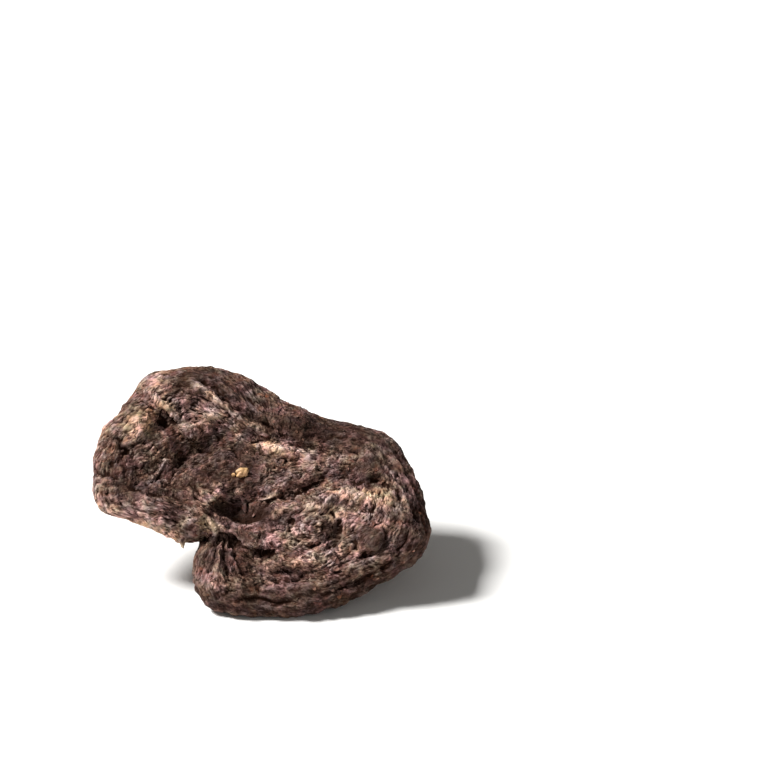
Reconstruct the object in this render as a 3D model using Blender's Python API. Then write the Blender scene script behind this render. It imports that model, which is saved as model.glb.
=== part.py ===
"""Dried scaly hedgehog mushroom, cap up, leaning on its margin and its short stalk.

The cap is drawn on its face plane and then leant back: u runs right, v up the face and w out of it.
Lengths are in millimetres until the mesh is placed, where MM turns them into Blender's metres.
"""
import math
from itertools import product

import bmesh
import bpy
import numpy as np
from mathutils import Vector
from mathutils.bvhtree import BVHTree

MM = 0.001
NAME = "mushroom"
GRID = 25
RELIEF_SEED = 11
SPINE_SEED = 5

# How the cap lies: the face plane leans back from upright, and the face falls away behind it going up,
# a little bowled across and along
FACE_LEAN = math.radians(27.0)
FACE_FALL = 0.53
BOWL_ACROSS = 0.0021
BOWL_ALONG = 0.0035
REST_LIFT = 26.3
CENTRE_X = -0.70
CENTRE_Y = 2.26

# The cap's edge as seen square on to the face, anticlockwise from the right, with the notch at lower left
MARGIN = [
    (50.5, -12.0), (49.0, -5.0), (46.5, 2.5), (44.0, 7.5), (41.0, 13.0), (36.0, 17.0),
    (30.0, 18.7), (22.0, 20.0), (12.0, 23.5), (1.0, 29.5), (-10.0, 35.0), (-20.5, 37.0),
    (-29.5, 35.8), (-36.0, 34.3), (-39.5, 28.5), (-44.5, 22.3), (-48.0, 17.5), (-50.2, 10.5),
    (-50.4, 3.5), (-49.8, -2.5), (-46.5, -6.5), (-40.0, -8.2), (-33.5, -11.2), (-28.0, -13.4),
    (-24.0, -15.2), (-19.0, -15.2), (-19.5, -21.0), (-19.3, -27.5), (-17.0, -32.2),
    (-12.0, -35.0), (-4.0, -36.2), (5.0, -36.6), (14.0, -35.8), (23.0, -33.4), (31.0, -29.8),
    (39.0, -25.0), (46.0, -20.5),
]

# How the edge rolls under: distance in from the edge, and drop below the face, for a roll one deep
ROLL = [
    (10.0, 0.0), (7.2, 0.06), (4.6, 0.18), (2.6, 0.34), (1.1, 0.53), (0.25, 0.72), (0.0, 0.86),
    (0.5, 0.98), (1.8, 1.05), (3.4, 1.02), (5.4, 0.91), (8.2, 0.77), (12.0, 0.66),
]
# Roll depth round the edge, as angle in degrees and millimetres
ROLL_DEPTH = [
    (0, 10.5), (40, 9.0), (75, 8.0), (110, 8.0), (150, 8.0), (185, 6.5), (203, 4.6), (214, 4.8),
    (226, 8.5), (245, 11.0), (290, 12.0), (330, 12.0),
]
# The flesh under the middle of the cap, the least left under a fold, and the blunter lower skin's share
# of the face's shape
FLESH = 6.0
THIN_FLESH = 4.2
LOWER_SHARE = 0.35
# Waves of the margin out of the face plane: count round the edge, height and phase. They rise over
# a stretch of v, so the edge that the cap rests on stays level.
MARGIN_WAVES = [(2, 2.6, 0.7), (3, 1.9, 2.4), (5, 1.2, 0.9), (8, 0.7, 3.3)]
WAVES_FROM_V = -26.0
WAVES_OVER = 24.0

# Humps and hollows of the face: centre u and v, half-lengths along and across, turn in degrees, height
HUMPS = [
    (-24.0, 9.0, 15.0, 10.0, 20, -3.2),
    (-21.0, 11.5, 6.0, 4.2, 10, -2.8),
    (-30.5, 20.0, 3.4, 3.0, 0, -2.4),
    (-41.0, 11.0, 4.2, 3.4, 30, -2.2),
    (-38.0, 19.5, 4.2, 3.8, 20, 1.8),
    (-17.0, 0.5, 5.0, 3.6, -20, 1.6),
    (-6.5, -4.2, 6.4, 4.2, 12, -6.6),
    (8.0, 6.6, 11.0, 6.0, -4, 3.2),
    (33.5, 5.6, 9.0, 3.8, 22, 3.2),
    (14.5, -10.0, 9.5, 8.6, 0, -1.6),
    (14.5, -10.0, 5.2, 4.8, 0, 4.4),
    (21.5, -13.4, 3.0, 4.4, 20, -2.4),
    (33.0, -14.8, 3.8, 2.6, -35, 1.7),
    (1.0, -18.4, 3.4, 1.7, 0, -2.6),
    (8.6, -24.0, 4.6, 1.8, -8, -2.0),
    (-14.0, -23.5, 5.0, 8.0, 0, 1.8),
]
# Ridges, above nought, and folds, below it: height, half-width and the line each follows
FOLDS = [
    (3.2, 3.2, [(-21, 31), (-16, 28), (-10, 24), (0, 19.2), (7, 17.2), (14, 14.8), (24, 12.4), (32, 11.5)]),
    (-2.8, 2.2, [(-13, 19), (-4, 15.5), (8, 14.0), (20, 10.2), (28, 8.0)]),
    (2.0, 1.6, [(-34, 28.5), (-27, 22), (-21, 17)]),
    (1.6, 2.6, [(-48, 2), (-38, -1.5), (-28, -5), (-20, -7)]),
    (-5.0, 2.8, [(-20, -15), (-15.5, -13.5), (-10, -15), (-6, -17.5)]),
    (-4.2, 2.6, [(-6, -6), (1, -4.2), (10, -1.8), (18, 1.4), (26, 3.0), (36, 1.8)]),
    (2.6, 3.4, [(0, -9), (10, -5.4), (22, -2.4), (34, -2.0), (42, -5)]),
    (-2.0, 2.0, [(-2, -23), (8, -27), (18, -25.5), (27, -21), (36, -17.5), (42, -10)]),
    (1.4, 2.0, [(-14, -12), (-8, -13), (-3, -15), (4, -21.5), (15, -20.5), (24, -16.5)]),
    (-1.4, 1.5, [(-12, -30), (0, -32), (14, -31), (28, -26.5), (40, -19), (45.5, -10)]),
]

# The stalk under the cap, as a bent line from the flesh to its foot, and its girth along that line
STALK_LINE = [(-5.0, -3.0, -4.0), (-6.0, -10.0, -19.0), (-3.0, -14.5, -39.0)]
STALK_GIRTH = [(0.0, 10.5), (0.3, 8.8), (0.65, 9.2), (0.9, 10.2), (1.0, 9.4)]
STALK_FOOT_BULGE = 1.2
# Where the underside turns down into the stalk, and how much of the stalk's skin that turn takes
STALK_MOUTH = 19.0
STALK_NECK = 10.0
STALK_JOIN = 0.38
STALK_FROM = 0.12
# Grooves along the stalk: count round it, depth as a share of the girth, phase, and their twist
STALK_GROOVES = [(7, 0.085, 0.6), (11, 0.05, 2.1), (17, 0.03, 4.4)]
STALK_TWIST = 2.2

# Shares of the skin given to the face, the rolled edge, the underside, the stalk and its foot
SKIN_SHARES = (0.31, 0.40, 0.09, 0.16, 0.04)

# Relief of the skin: wrinkles by their spacing and height, and scales that overlap towards the margin.
# It is calmer under the cap and along the stalk.
WRINKLES = [(11.0, 1.0), (6.0, 0.75)]
SCALE_SPACING = 8.0
SCALE_HEIGHT = 1.9
SCALE_GAP = 0.1
RELIEF_UNDER = 0.3
RELIEF_STALK = 0.55

# Spines under the cap: candidates tried, where the roll lets them start, and each one's size. The root
# is sunk in the flesh, and the heading mixes the skin's normal with straight down off the face.
SPINE_TRIES = 2400
SPINES_FROM_ROLL = 0.7
SPINE_LENGTH = 4.6
SPINE_WIDTH = 1.7
SPINE_ROOT = 1.4
SPINE_SPACING = 2.6
SPINE_SWAY = 0.14
FLOOR_CLEARANCE = 1.5

SMOOTH_PASSES = 12


def ease(x):
    x = np.clip(x, 0.0, 1.0)
    return x * x * (3.0 - 2.0 * x)


def unit(vectors):
    return vectors / np.linalg.norm(vectors, axis=1)[:, None]


def smooth_curve(x, knots_x, knots_y):
    """A smooth line through the knots, level with its neighbours' slope at each."""
    knots_x, knots_y = np.asarray(knots_x, float), np.asarray(knots_y, float)
    slope = np.gradient(knots_y, knots_x)
    i = np.clip(np.searchsorted(knots_x, x) - 1, 0, len(knots_x) - 2)
    span = knots_x[i + 1] - knots_x[i]
    t = np.clip((x - knots_x[i]) / span, 0.0, 1.0)
    rise = (1 + 2 * t) * (1 - t) ** 2 * knots_y[i] + t * t * (3 - 2 * t) * knots_y[i + 1]
    return rise + span * (t * (1 - t) ** 2 * slope[i] + t * t * (t - 1) * slope[i + 1])


def round_curve(angle, knots_angle, knots_y):
    """The same round a full turn, in radians."""
    order = np.argsort(knots_angle)
    a, y = np.asarray(knots_angle, float)[order], np.asarray(knots_y, float)[order]
    turn = 2 * math.pi
    a = np.concatenate([a[-3:] - turn, a, a[:3] + turn])
    y = np.concatenate([y[-3:], y, y[:3]])
    return smooth_curve(np.mod(angle, turn), a, y)


def edge_radius(angle):
    points = np.array(MARGIN)
    return round_curve(
        angle,
        np.mod(np.arctan2(points[:, 1], points[:, 0]), 2 * math.pi),
        np.hypot(points[:, 0], points[:, 1]),
    )


def roll_depth(angle):
    degrees, depth = zip(*ROLL_DEPTH)
    return round_curve(angle, np.radians(degrees), depth)


def gradient_noise(points, seed):
    """Smooth noise in space, about -1 to 1, one bump to a unit."""
    draw = np.random.default_rng(seed)
    order = draw.permutation(256)
    pull = draw.normal(size=(256, 3))
    pull /= np.linalg.norm(pull, axis=1)[:, None]
    cell = np.floor(points).astype(int)
    part = points - cell
    fade = part ** 3 * (part * (part * 6 - 15) + 10)
    total = np.zeros(len(points))
    for corner in product((0, 1), repeat=3):
        at = (cell + corner) & 255
        index = order[(order[(order[at[:, 0]] + at[:, 1]) & 255] + at[:, 2]) & 255]
        weight = np.prod(np.where(corner, fade, 1 - fade), axis=1)
        total += weight * (pull[index] * (part - corner)).sum(axis=1)
    return 1.6 * total


def nearest_seeds(points, seed):
    """The offset from each point's nearest scattered seed, and how much further off the second one is."""
    draw = np.random.default_rng(seed)
    order = draw.permutation(256)
    scatter = draw.random((256, 3))
    cell = np.floor(points).astype(int)
    first = np.full(len(points), 9.0)
    second = first.copy()
    offset = np.zeros_like(points)
    for step in product((-1, 0, 1), repeat=3):
        at = cell + step
        index = order[(order[(order[at[:, 0] & 255] + at[:, 1]) & 255] + at[:, 2]) & 255]
        away = points - (at + scatter[index])
        gap = np.linalg.norm(away, axis=1)
        nearer = gap < first
        second = np.where(nearer, first, np.minimum(second, gap))
        offset[nearer] = away[nearer]
        first = np.where(nearer, gap, first)
    return offset, second - first


def line_gap(u, v, line):
    """The distance from each point to a line of straight runs."""
    gap = np.full(np.shape(u), 1e9)
    for (u0, v0), (u1, v1) in zip(line, line[1:]):
        du, dv = u1 - u0, v1 - v0
        t = np.clip(((u - u0) * du + (v - v0) * dv) / (du * du + dv * dv), 0, 1)
        gap = np.minimum(gap, np.hypot(u - u0 - t * du, v - v0 - t * dv))
    return gap


def face_height(u, v, share_of_forms):
    """The height w of the face, with a share of its humps and folds: 1 is the upper skin."""
    w = BOWL_ACROSS * u * u + BOWL_ALONG * v * v - FACE_FALL * v
    angle = np.arctan2(v, u)
    rise = ease((v - WAVES_FROM_V) / WAVES_OVER)
    outer = ease(np.hypot(u, v) / edge_radius(angle))
    for count, height, phase in MARGIN_WAVES:
        w = w + height * rise * outer * np.cos(count * angle + phase)
    for cu, cv, along, across, turn, height in HUMPS:
        c, s = math.cos(math.radians(turn)), math.sin(math.radians(turn))
        a, b = (u - cu) * c + (v - cv) * s, (v - cv) * c - (u - cu) * s
        w = w + share_of_forms * height * np.exp(-(a / along) ** 2 - (b / across) ** 2)
    for height, width, line in FOLDS:
        w = w + share_of_forms * height * np.exp(-(line_gap(u, v, line) / width) ** 2)
    return w


def stalk_point(along, angle, girth_share):
    """A point of the stalk's skin: the line is a Bezier curve, and the girth is grooved."""
    p0, p1, p2 = (np.array(p) for p in STALK_LINE)
    t = along[:, None]
    axis = (1 - t) ** 2 * p0 + 2 * t * (1 - t) * p1 + t * t * p2
    heading = 2 * (1 - t) * (p1 - p0) + 2 * t * (p2 - p1)
    heading /= np.linalg.norm(heading, axis=1)[:, None]
    right = np.cross(np.array([0.0, 1.0, 0.0]), -heading)
    right /= np.linalg.norm(right, axis=1)[:, None]
    up = np.cross(-heading, right)
    girth = smooth_curve(along, *zip(*STALK_GIRTH)) * girth_share
    groove = sum(
        depth * np.cos(count * angle + phase + STALK_TWIST * along)
        for count, depth, phase in STALK_GROOVES
    )
    girth = girth * (1 + groove * ease(along / 0.25))
    c, s = np.cos(angle)[:, None], np.sin(angle)[:, None]
    return axis + girth[:, None] * (c * right + s * up), heading


def skin(directions):
    """Each direction from a ball's middle as a point of the mushroom's skin, in face coordinates.

    The ball's top is the middle of the face and its bottom the stalk's foot.
    """
    angle = np.arctan2(directions[:, 1], directions[:, 0])
    share = (1 - directions[:, 2]) / 2
    ends = np.cumsum(SKIN_SHARES)
    radius, depth = edge_radius(angle), roll_depth(angle)
    inset, drop = np.array(ROLL).T
    inset_max = inset[0]
    run = np.concatenate([[0], np.cumsum(np.hypot(np.diff(inset), 10 * np.diff(drop)))])
    run /= run[-1]

    # The face out to where the roll starts
    on_face = np.sqrt(np.clip(share / ends[0], 0, 1))
    # The roll, squeezed where the cap is narrow
    t = np.clip((share - ends[0]) / SKIN_SHARES[1], 0, 1)
    squeeze = np.clip(radius / 32.0, 0.6, 1.0)
    roll_in = smooth_curve(t, run, inset) * squeeze
    roll_drop = smooth_curve(t, run, drop) * depth
    reach = np.where(share < ends[0], on_face * (radius - inset_max * squeeze), radius - roll_in)
    # The underside, back to the stalk's mouth
    q = np.clip((share - ends[1]) / SKIN_SHARES[2], 0, 1)
    under_from = radius - inset[-1] * squeeze
    mouth = np.minimum(STALK_MOUTH, 0.8 * under_from)
    reach = np.where(share > ends[1], under_from + (mouth - under_from) * q, reach)
    under_drop = drop[-1] * depth * (1 - ease(q)) + FLESH * ease(q)
    fall = np.where(share > ends[1], under_drop, np.where(share < ends[0], 0.0, roll_drop))

    # The stalk's mouth slides from the cap's middle to over the stalk
    s = np.clip((share - ends[2]) / SKIN_SHARES[3], 0, 1)
    join = ease(s / STALK_JOIN)
    neck = mouth - (STALK_MOUTH - STALK_NECK) * np.clip(s / STALK_JOIN, 0, 1)
    reach = np.where(share > ends[2], neck, reach)
    shift = ease(1 - reach / STALK_MOUTH / 1.6) * (share > ends[1])
    u = reach * np.cos(angle) + shift * STALK_LINE[0][0]
    v = reach * np.sin(angle) + shift * STALK_LINE[0][1]
    blunt = np.clip(fall / np.maximum(depth, 1.0), 0, 1)
    w = face_height(u, v, 1.0 - (1.0 - LOWER_SHARE) * ease(1.4 * blunt)) - fall
    w = np.minimum(w, face_height(u, v, 1.0) - np.minimum(fall, THIN_FLESH))
    cap = np.stack([u, v, w], axis=1)

    along = np.clip((s - STALK_FROM) / (1 - STALK_FROM), 0, 1)
    foot = np.clip((share - ends[3]) / SKIN_SHARES[4], 0, 1)
    stalk, heading = stalk_point(along, angle, np.sqrt(1 - foot))
    stalk = stalk + heading * (STALK_FOOT_BULGE * ease(foot))[:, None]
    return cap + (stalk - cap) * join[:, None]


def skin_relief(points, directions):
    """How far the dried skin stands up or down along its normal: folds of wrinkles, then scales."""
    share = (1 - directions[:, 2]) / 2
    ends = np.cumsum(SKIN_SHARES)
    height = np.zeros(len(points))
    for number, (spacing, depth) in enumerate(WRINKLES):
        bend = 0.35 * gradient_noise(points / spacing / 1.7, RELIEF_SEED + 20 + number)
        ridged = 1 - 2 * np.abs(gradient_noise(points / spacing + bend[:, None], RELIEF_SEED + number))
        height += depth * ridged
    outward = np.stack([points[:, 0], points[:, 1], -0.4 * np.hypot(points[:, 0], points[:, 1])], 1)
    outward /= np.maximum(np.linalg.norm(outward, axis=1), 1e-6)[:, None]
    offset, edge = nearest_seeds(points / SCALE_SPACING, RELIEF_SEED + 40)
    shingle = ((offset * outward).sum(axis=1) + 0.35) * ease(edge / SCALE_GAP)
    height += SCALE_HEIGHT * shingle * (share < ends[0] + 0.6 * SKIN_SHARES[1])
    under_cap = 1 - (1 - RELIEF_UNDER) * ease((share - ends[0]) / SKIN_SHARES[1])
    on_stalk = RELIEF_STALK * ease((share - ends[2]) / 0.1)
    return height * np.maximum(under_cap, on_stalk)


def placed(points):
    """Face coordinates to the world: leant back, lifted to rest, flat where it meets the surface."""
    c, s = math.cos(FACE_LEAN), math.sin(FACE_LEAN)
    u, v, w = points.T
    world = np.stack([u - CENTRE_X, s * v - c * w - CENTRE_Y, c * v + s * w + REST_LIFT], axis=1)
    world[:, 2] = np.maximum(world[:, 2], 0.0)
    return world


def ball_directions(points):
    """A cube's grid of points turned into evenly spread directions."""
    bent = np.tan(points * math.pi / 4)
    return bent / np.linalg.norm(bent, axis=1)[:, None]


def grid_cube(name, cuts):
    """A closed cube of edge 2 with each face cut into a grid."""
    mesh = bpy.data.meshes.new(name)
    bm = bmesh.new()
    bmesh.ops.create_cube(bm, size=2.0)
    bmesh.ops.subdivide_edges(bm, edges=bm.edges[:], cuts=cuts - 1, use_grid_fill=True)
    bm.to_mesh(mesh)
    bm.free()
    return mesh


def read_points(mesh):
    points = np.empty(len(mesh.vertices) * 3)
    mesh.vertices.foreach_get("co", points)
    return points.reshape(-1, 3)


def read_normals(mesh):
    normals = np.empty(len(mesh.vertices) * 3)
    mesh.vertices.foreach_get("normal", normals)
    return normals.reshape(-1, 3)


def write_points(mesh, points):
    mesh.vertices.foreach_set("co", np.ascontiguousarray(points).ravel())
    mesh.update()


def flesh_material():
    material = bpy.data.materials.new("dried_flesh")
    material.use_nodes = True
    surface = material.node_tree.nodes["Principled BSDF"]
    surface.inputs["Base Color"].default_value = (0.110, 0.066, 0.050, 1.0)
    surface.inputs["Roughness"].default_value = 0.82
    surface.inputs["Metallic"].default_value = 0.0
    return material


def even_flats(bm):
    """Spreads the points of the resting flats evenly, each where it lies among its neighbours."""
    inner = [
        v for v in bm.verts if v.co.z == 0 and all(e.other_vert(v).co.z == 0 for e in v.link_edges)
    ]
    for _ in range(SMOOTH_PASSES):
        bmesh.ops.smooth_vert(bm, verts=inner, factor=0.5, use_axis_x=True, use_axis_y=True)


def uncross(mesh):
    """Smooths the skin wherever its relief has folded through itself."""
    bm = bmesh.new()
    bm.from_mesh(mesh)
    bmesh.ops.triangulate(bm, faces=bm.faces[:])
    even_flats(bm)
    for _ in range(SMOOTH_PASSES):
        bm.faces.ensure_lookup_table()
        tree = BVHTree.FromBMesh(bm)
        crossed = set()
        for a, b in tree.overlap(tree):
            first, second = set(bm.faces[a].verts), set(bm.faces[b].verts)
            if not first & second:
                crossed |= first | second
        if not crossed:
            break
        ring = {v.index for near in crossed for edge in near.link_edges for v in edge.verts}
        bm.verts.ensure_lookup_table()
        bmesh.ops.smooth_vert(
            bm, verts=[bm.verts[i] for i in sorted(ring)], factor=0.5,
            use_axis_x=True, use_axis_y=True, use_axis_z=True,
        )
    bm.to_mesh(mesh)
    bm.free()


def make_body(collection):
    """The cap and stalk as one skin, from a gridded ball."""
    mesh = grid_cube(NAME, GRID)
    directions = ball_directions(read_points(mesh))
    smooth = skin(directions)
    write_points(mesh, smooth)
    rough = smooth + read_normals(mesh) * skin_relief(smooth, directions)[:, None]
    write_points(mesh, placed(rough) * MM)
    uncross(mesh)
    mesh.materials.append(flesh_material())
    body = bpy.data.objects.new(NAME, mesh)
    collection.objects.link(body)
    return body


def spine_places():
    """Roots and headings of the spines: spread over the underside, each a little way from the others."""
    draw = np.random.default_rng(SPINE_SEED)
    ends = np.cumsum(SKIN_SHARES)
    turn = draw.uniform(0, 2 * math.pi, SPINE_TRIES)
    level = 1 - 2 * draw.uniform(ends[0] + SPINES_FROM_ROLL * SKIN_SHARES[1], ends[2], SPINE_TRIES)
    flat = np.sqrt(1 - level ** 2)
    directions = np.stack([flat * np.cos(turn), flat * np.sin(turn), level], axis=1)
    roots = skin(directions)
    kept = []
    for number, root in enumerate(roots):
        if all(np.linalg.norm(roots[other] - root) > SPINE_SPACING for other in kept):
            kept.append(number)
    directions, roots, turn, level, flat = (x[kept] for x in (directions, roots, turn, level, flat))
    small = 1e-3
    round_step = np.stack([-np.sin(turn), np.cos(turn), np.zeros(len(kept))], axis=1)
    down_step = np.stack([level * np.cos(turn), level * np.sin(turn), -flat], axis=1)
    across = skin(unit(directions + small * round_step)) - roots
    along = skin(unit(directions + small * down_step)) - roots
    normal = unit(np.cross(along, across))
    straight_down = unit(np.array([[0.0, -FACE_FALL, -1.0]]))
    heading = unit(0.5 * normal + 0.8 * straight_down + draw.normal(0, SPINE_SWAY, (len(kept), 3)))
    length = SPINE_LENGTH * draw.uniform(0.75, 1.15, len(kept))
    return roots, heading, length


def make_spines(collection):
    """Three-sided spines, leaving out those too near the surface the mushroom rests on."""
    roots, headings, lengths = spine_places()
    for number, (root, heading, length) in enumerate(zip(roots, headings, lengths)):
        start, end = placed(np.array([root - heading * SPINE_ROOT, root + heading * length]))
        if end[2] < FLOOR_CLEARANCE:
            continue
        mesh = bpy.data.meshes.new(f"spine_{number}")
        bm = bmesh.new()
        bmesh.ops.create_cone(
            bm, cap_ends=True, segments=3, radius1=SPINE_WIDTH / 2 * MM,
            radius2=0.0, depth=(length + SPINE_ROOT) * MM,
        )
        bm.to_mesh(mesh)
        bm.free()
        spine = bpy.data.objects.new(f"spine_{number}", mesh)
        spine.rotation_mode = "QUATERNION"
        spine.rotation_quaternion = Vector(end - start).to_track_quat("Z", "Y")
        spine.location = Vector((start + end) / 2 * MM)
        collection.objects.link(spine)


def fuse(body, repeats):
    """One Boolean union of the body with every object of a collection, applied."""
    union = body.modifiers.new("fuse", "BOOLEAN")
    union.operation = "UNION"
    union.operand_type = "COLLECTION"
    union.collection = repeats
    union.solver = "EXACT"
    bpy.context.view_layer.update()
    graph = bpy.context.evaluated_depsgraph_get()
    fused = bpy.data.meshes.new_from_object(body.evaluated_get(graph))
    body.modifiers.clear()
    body.data = fused
    for piece in list(repeats.objects):
        bpy.data.objects.remove(piece)
    bpy.data.collections.remove(repeats)


def main():
    for old in list(bpy.data.objects):
        bpy.data.objects.remove(old)
    parts = bpy.data.collections.new("dried_mushroom")
    bpy.context.scene.collection.children.link(parts)
    spines = bpy.data.collections.new("spines")
    bpy.context.scene.collection.children.link(spines)
    body = make_body(parts)
    make_spines(spines)
    fuse(body, spines)


main()
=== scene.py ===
import math
from itertools import product

import bmesh
import bpy
import numpy as np
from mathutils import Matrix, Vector


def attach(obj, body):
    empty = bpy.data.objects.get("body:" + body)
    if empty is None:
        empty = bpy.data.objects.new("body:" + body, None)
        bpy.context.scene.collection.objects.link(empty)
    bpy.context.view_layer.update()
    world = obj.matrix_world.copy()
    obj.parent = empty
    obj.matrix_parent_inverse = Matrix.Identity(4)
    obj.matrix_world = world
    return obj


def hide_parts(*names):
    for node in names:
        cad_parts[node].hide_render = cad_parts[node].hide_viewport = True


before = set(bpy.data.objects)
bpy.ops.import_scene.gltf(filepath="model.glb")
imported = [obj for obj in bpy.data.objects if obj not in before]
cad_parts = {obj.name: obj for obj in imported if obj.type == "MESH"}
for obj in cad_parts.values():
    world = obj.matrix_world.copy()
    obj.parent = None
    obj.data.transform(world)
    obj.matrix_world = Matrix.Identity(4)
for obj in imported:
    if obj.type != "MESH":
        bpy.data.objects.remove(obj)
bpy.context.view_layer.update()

mm = 0.001
print("frame loaded")


# small helpers: curves, noise and seeded cells, all on arrays of points in millimetres

def ease(x):
    x = np.clip(x, 0.0, 1.0)
    return x * x * (3.0 - 2.0 * x)


def fade(x, start, over):
    # from 0 at the start to 1 a little further on
    return ease((x - start) / over)


def turnOf(degrees):
    return math.cos(math.radians(degrees)), math.sin(math.radians(degrees))


def unit(vectors):
    return vectors / np.maximum(np.linalg.norm(vectors, axis=1), 1e-9)[:, None]


def smoothCurve(x, knotsX, knotsY):
    # a smooth line through the knots
    knotsX = np.asarray(knotsX, float)
    knotsY = np.asarray(knotsY, float)
    slope = np.gradient(knotsY, knotsX)
    i = np.clip(np.searchsorted(knotsX, x) - 1, 0, len(knotsX) - 2)
    span = knotsX[i + 1] - knotsX[i]
    t = np.clip((x - knotsX[i]) / span, 0.0, 1.0)
    rise = (1 + 2 * t) * (1 - t) ** 2 * knotsY[i] + t * t * (3 - 2 * t) * knotsY[i + 1]
    return rise + span * (t * (1 - t) ** 2 * slope[i] + t * t * (t - 1) * slope[i + 1])


def roundCurve(angle, knotsAngle, knotsY):
    # the same round a full turn
    order = np.argsort(knotsAngle)
    a = np.asarray(knotsAngle, float)[order]
    y = np.asarray(knotsY, float)[order]
    turn = 2 * math.pi
    a = np.concatenate([a[-3:] - turn, a, a[:3] + turn])
    y = np.concatenate([y[-3:], y, y[:3]])
    return smoothCurve(np.mod(angle, turn), a, y)


def cellOrder(order, cell):
    # a shuffled number from 0 to 255 for each cell
    return order[(order[(order[cell[:, 0] & 255] + cell[:, 1]) & 255] + cell[:, 2]) & 255]


def gradientNoise(points, seed):
    # about -1 to 1, one bump to a unit
    draw = np.random.default_rng(seed)
    order = draw.permutation(256)
    pull = draw.normal(size=(256, 3))
    pull /= np.linalg.norm(pull, axis=1)[:, None]
    cell = np.floor(points).astype(int)
    part = points - cell
    soft = part ** 3 * (part * (part * 6 - 15) + 10)
    total = np.zeros(len(points))
    for corner in product((0, 1), repeat=3):
        weight = np.prod(np.where(corner, soft, 1 - soft), axis=1)
        total += weight * (pull[cellOrder(order, cell + corner)] * (part - corner)).sum(axis=1)
    return 1.6 * total


def warped(points, spacing, amount, seed):
    # the points pushed about by slow noise, so that cells and ridges lose their regular look
    push = [gradientNoise(points / spacing, seed + k) for k in range(3)]
    return points + amount * np.stack(push, axis=1)


def nearestSeeds(points, seed):
    # the offset from the nearest scattered seed, and how much further off the second one is
    draw = np.random.default_rng(seed)
    order = draw.permutation(256)
    scatter = draw.random((256, 3))
    cell = np.floor(points).astype(int)
    first = np.full(len(points), 9.0)
    second = first.copy()
    offset = np.zeros_like(points)
    for step in product((-1, 0, 1), repeat=3):
        at = cell + step
        away = points - (at + scatter[cellOrder(order, at)])
        gap = np.linalg.norm(away, axis=1)
        nearer = gap < first
        second = np.where(nearer, first, np.minimum(second, gap))
        offset[nearer] = away[nearer]
        first = np.where(nearer, gap, first)
    return offset, second - first


def lineGap(u, v, line):
    gap = np.full(np.shape(u), 1e9)
    for (u0, v0), (u1, v1) in zip(line, line[1:]):
        du, dv = u1 - u0, v1 - v0
        t = np.clip(((u - u0) * du + (v - v0) * dv) / (du * du + dv * dv), 0, 1)
        gap = np.minimum(gap, np.hypot(u - u0 - t * du, v - v0 - t * dv))
    return gap


def marked(u, v, marks):
    # soft oval marks: centre u and v, half-lengths along and across, turn in degrees, strength
    total = np.zeros(np.shape(u))
    for cu, cv, along, across, turn, strength in marks:
        c, s = turnOf(turn)
        a, b = (u - cu) * c + (v - cv) * s, (v - cv) * c - (u - cu) * s
        total = total + strength * np.exp(-(a / along) ** 2 - (b / across) ** 2)
    return total


# the form, as in the solid: u runs right, v up the face and w out of it

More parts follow.
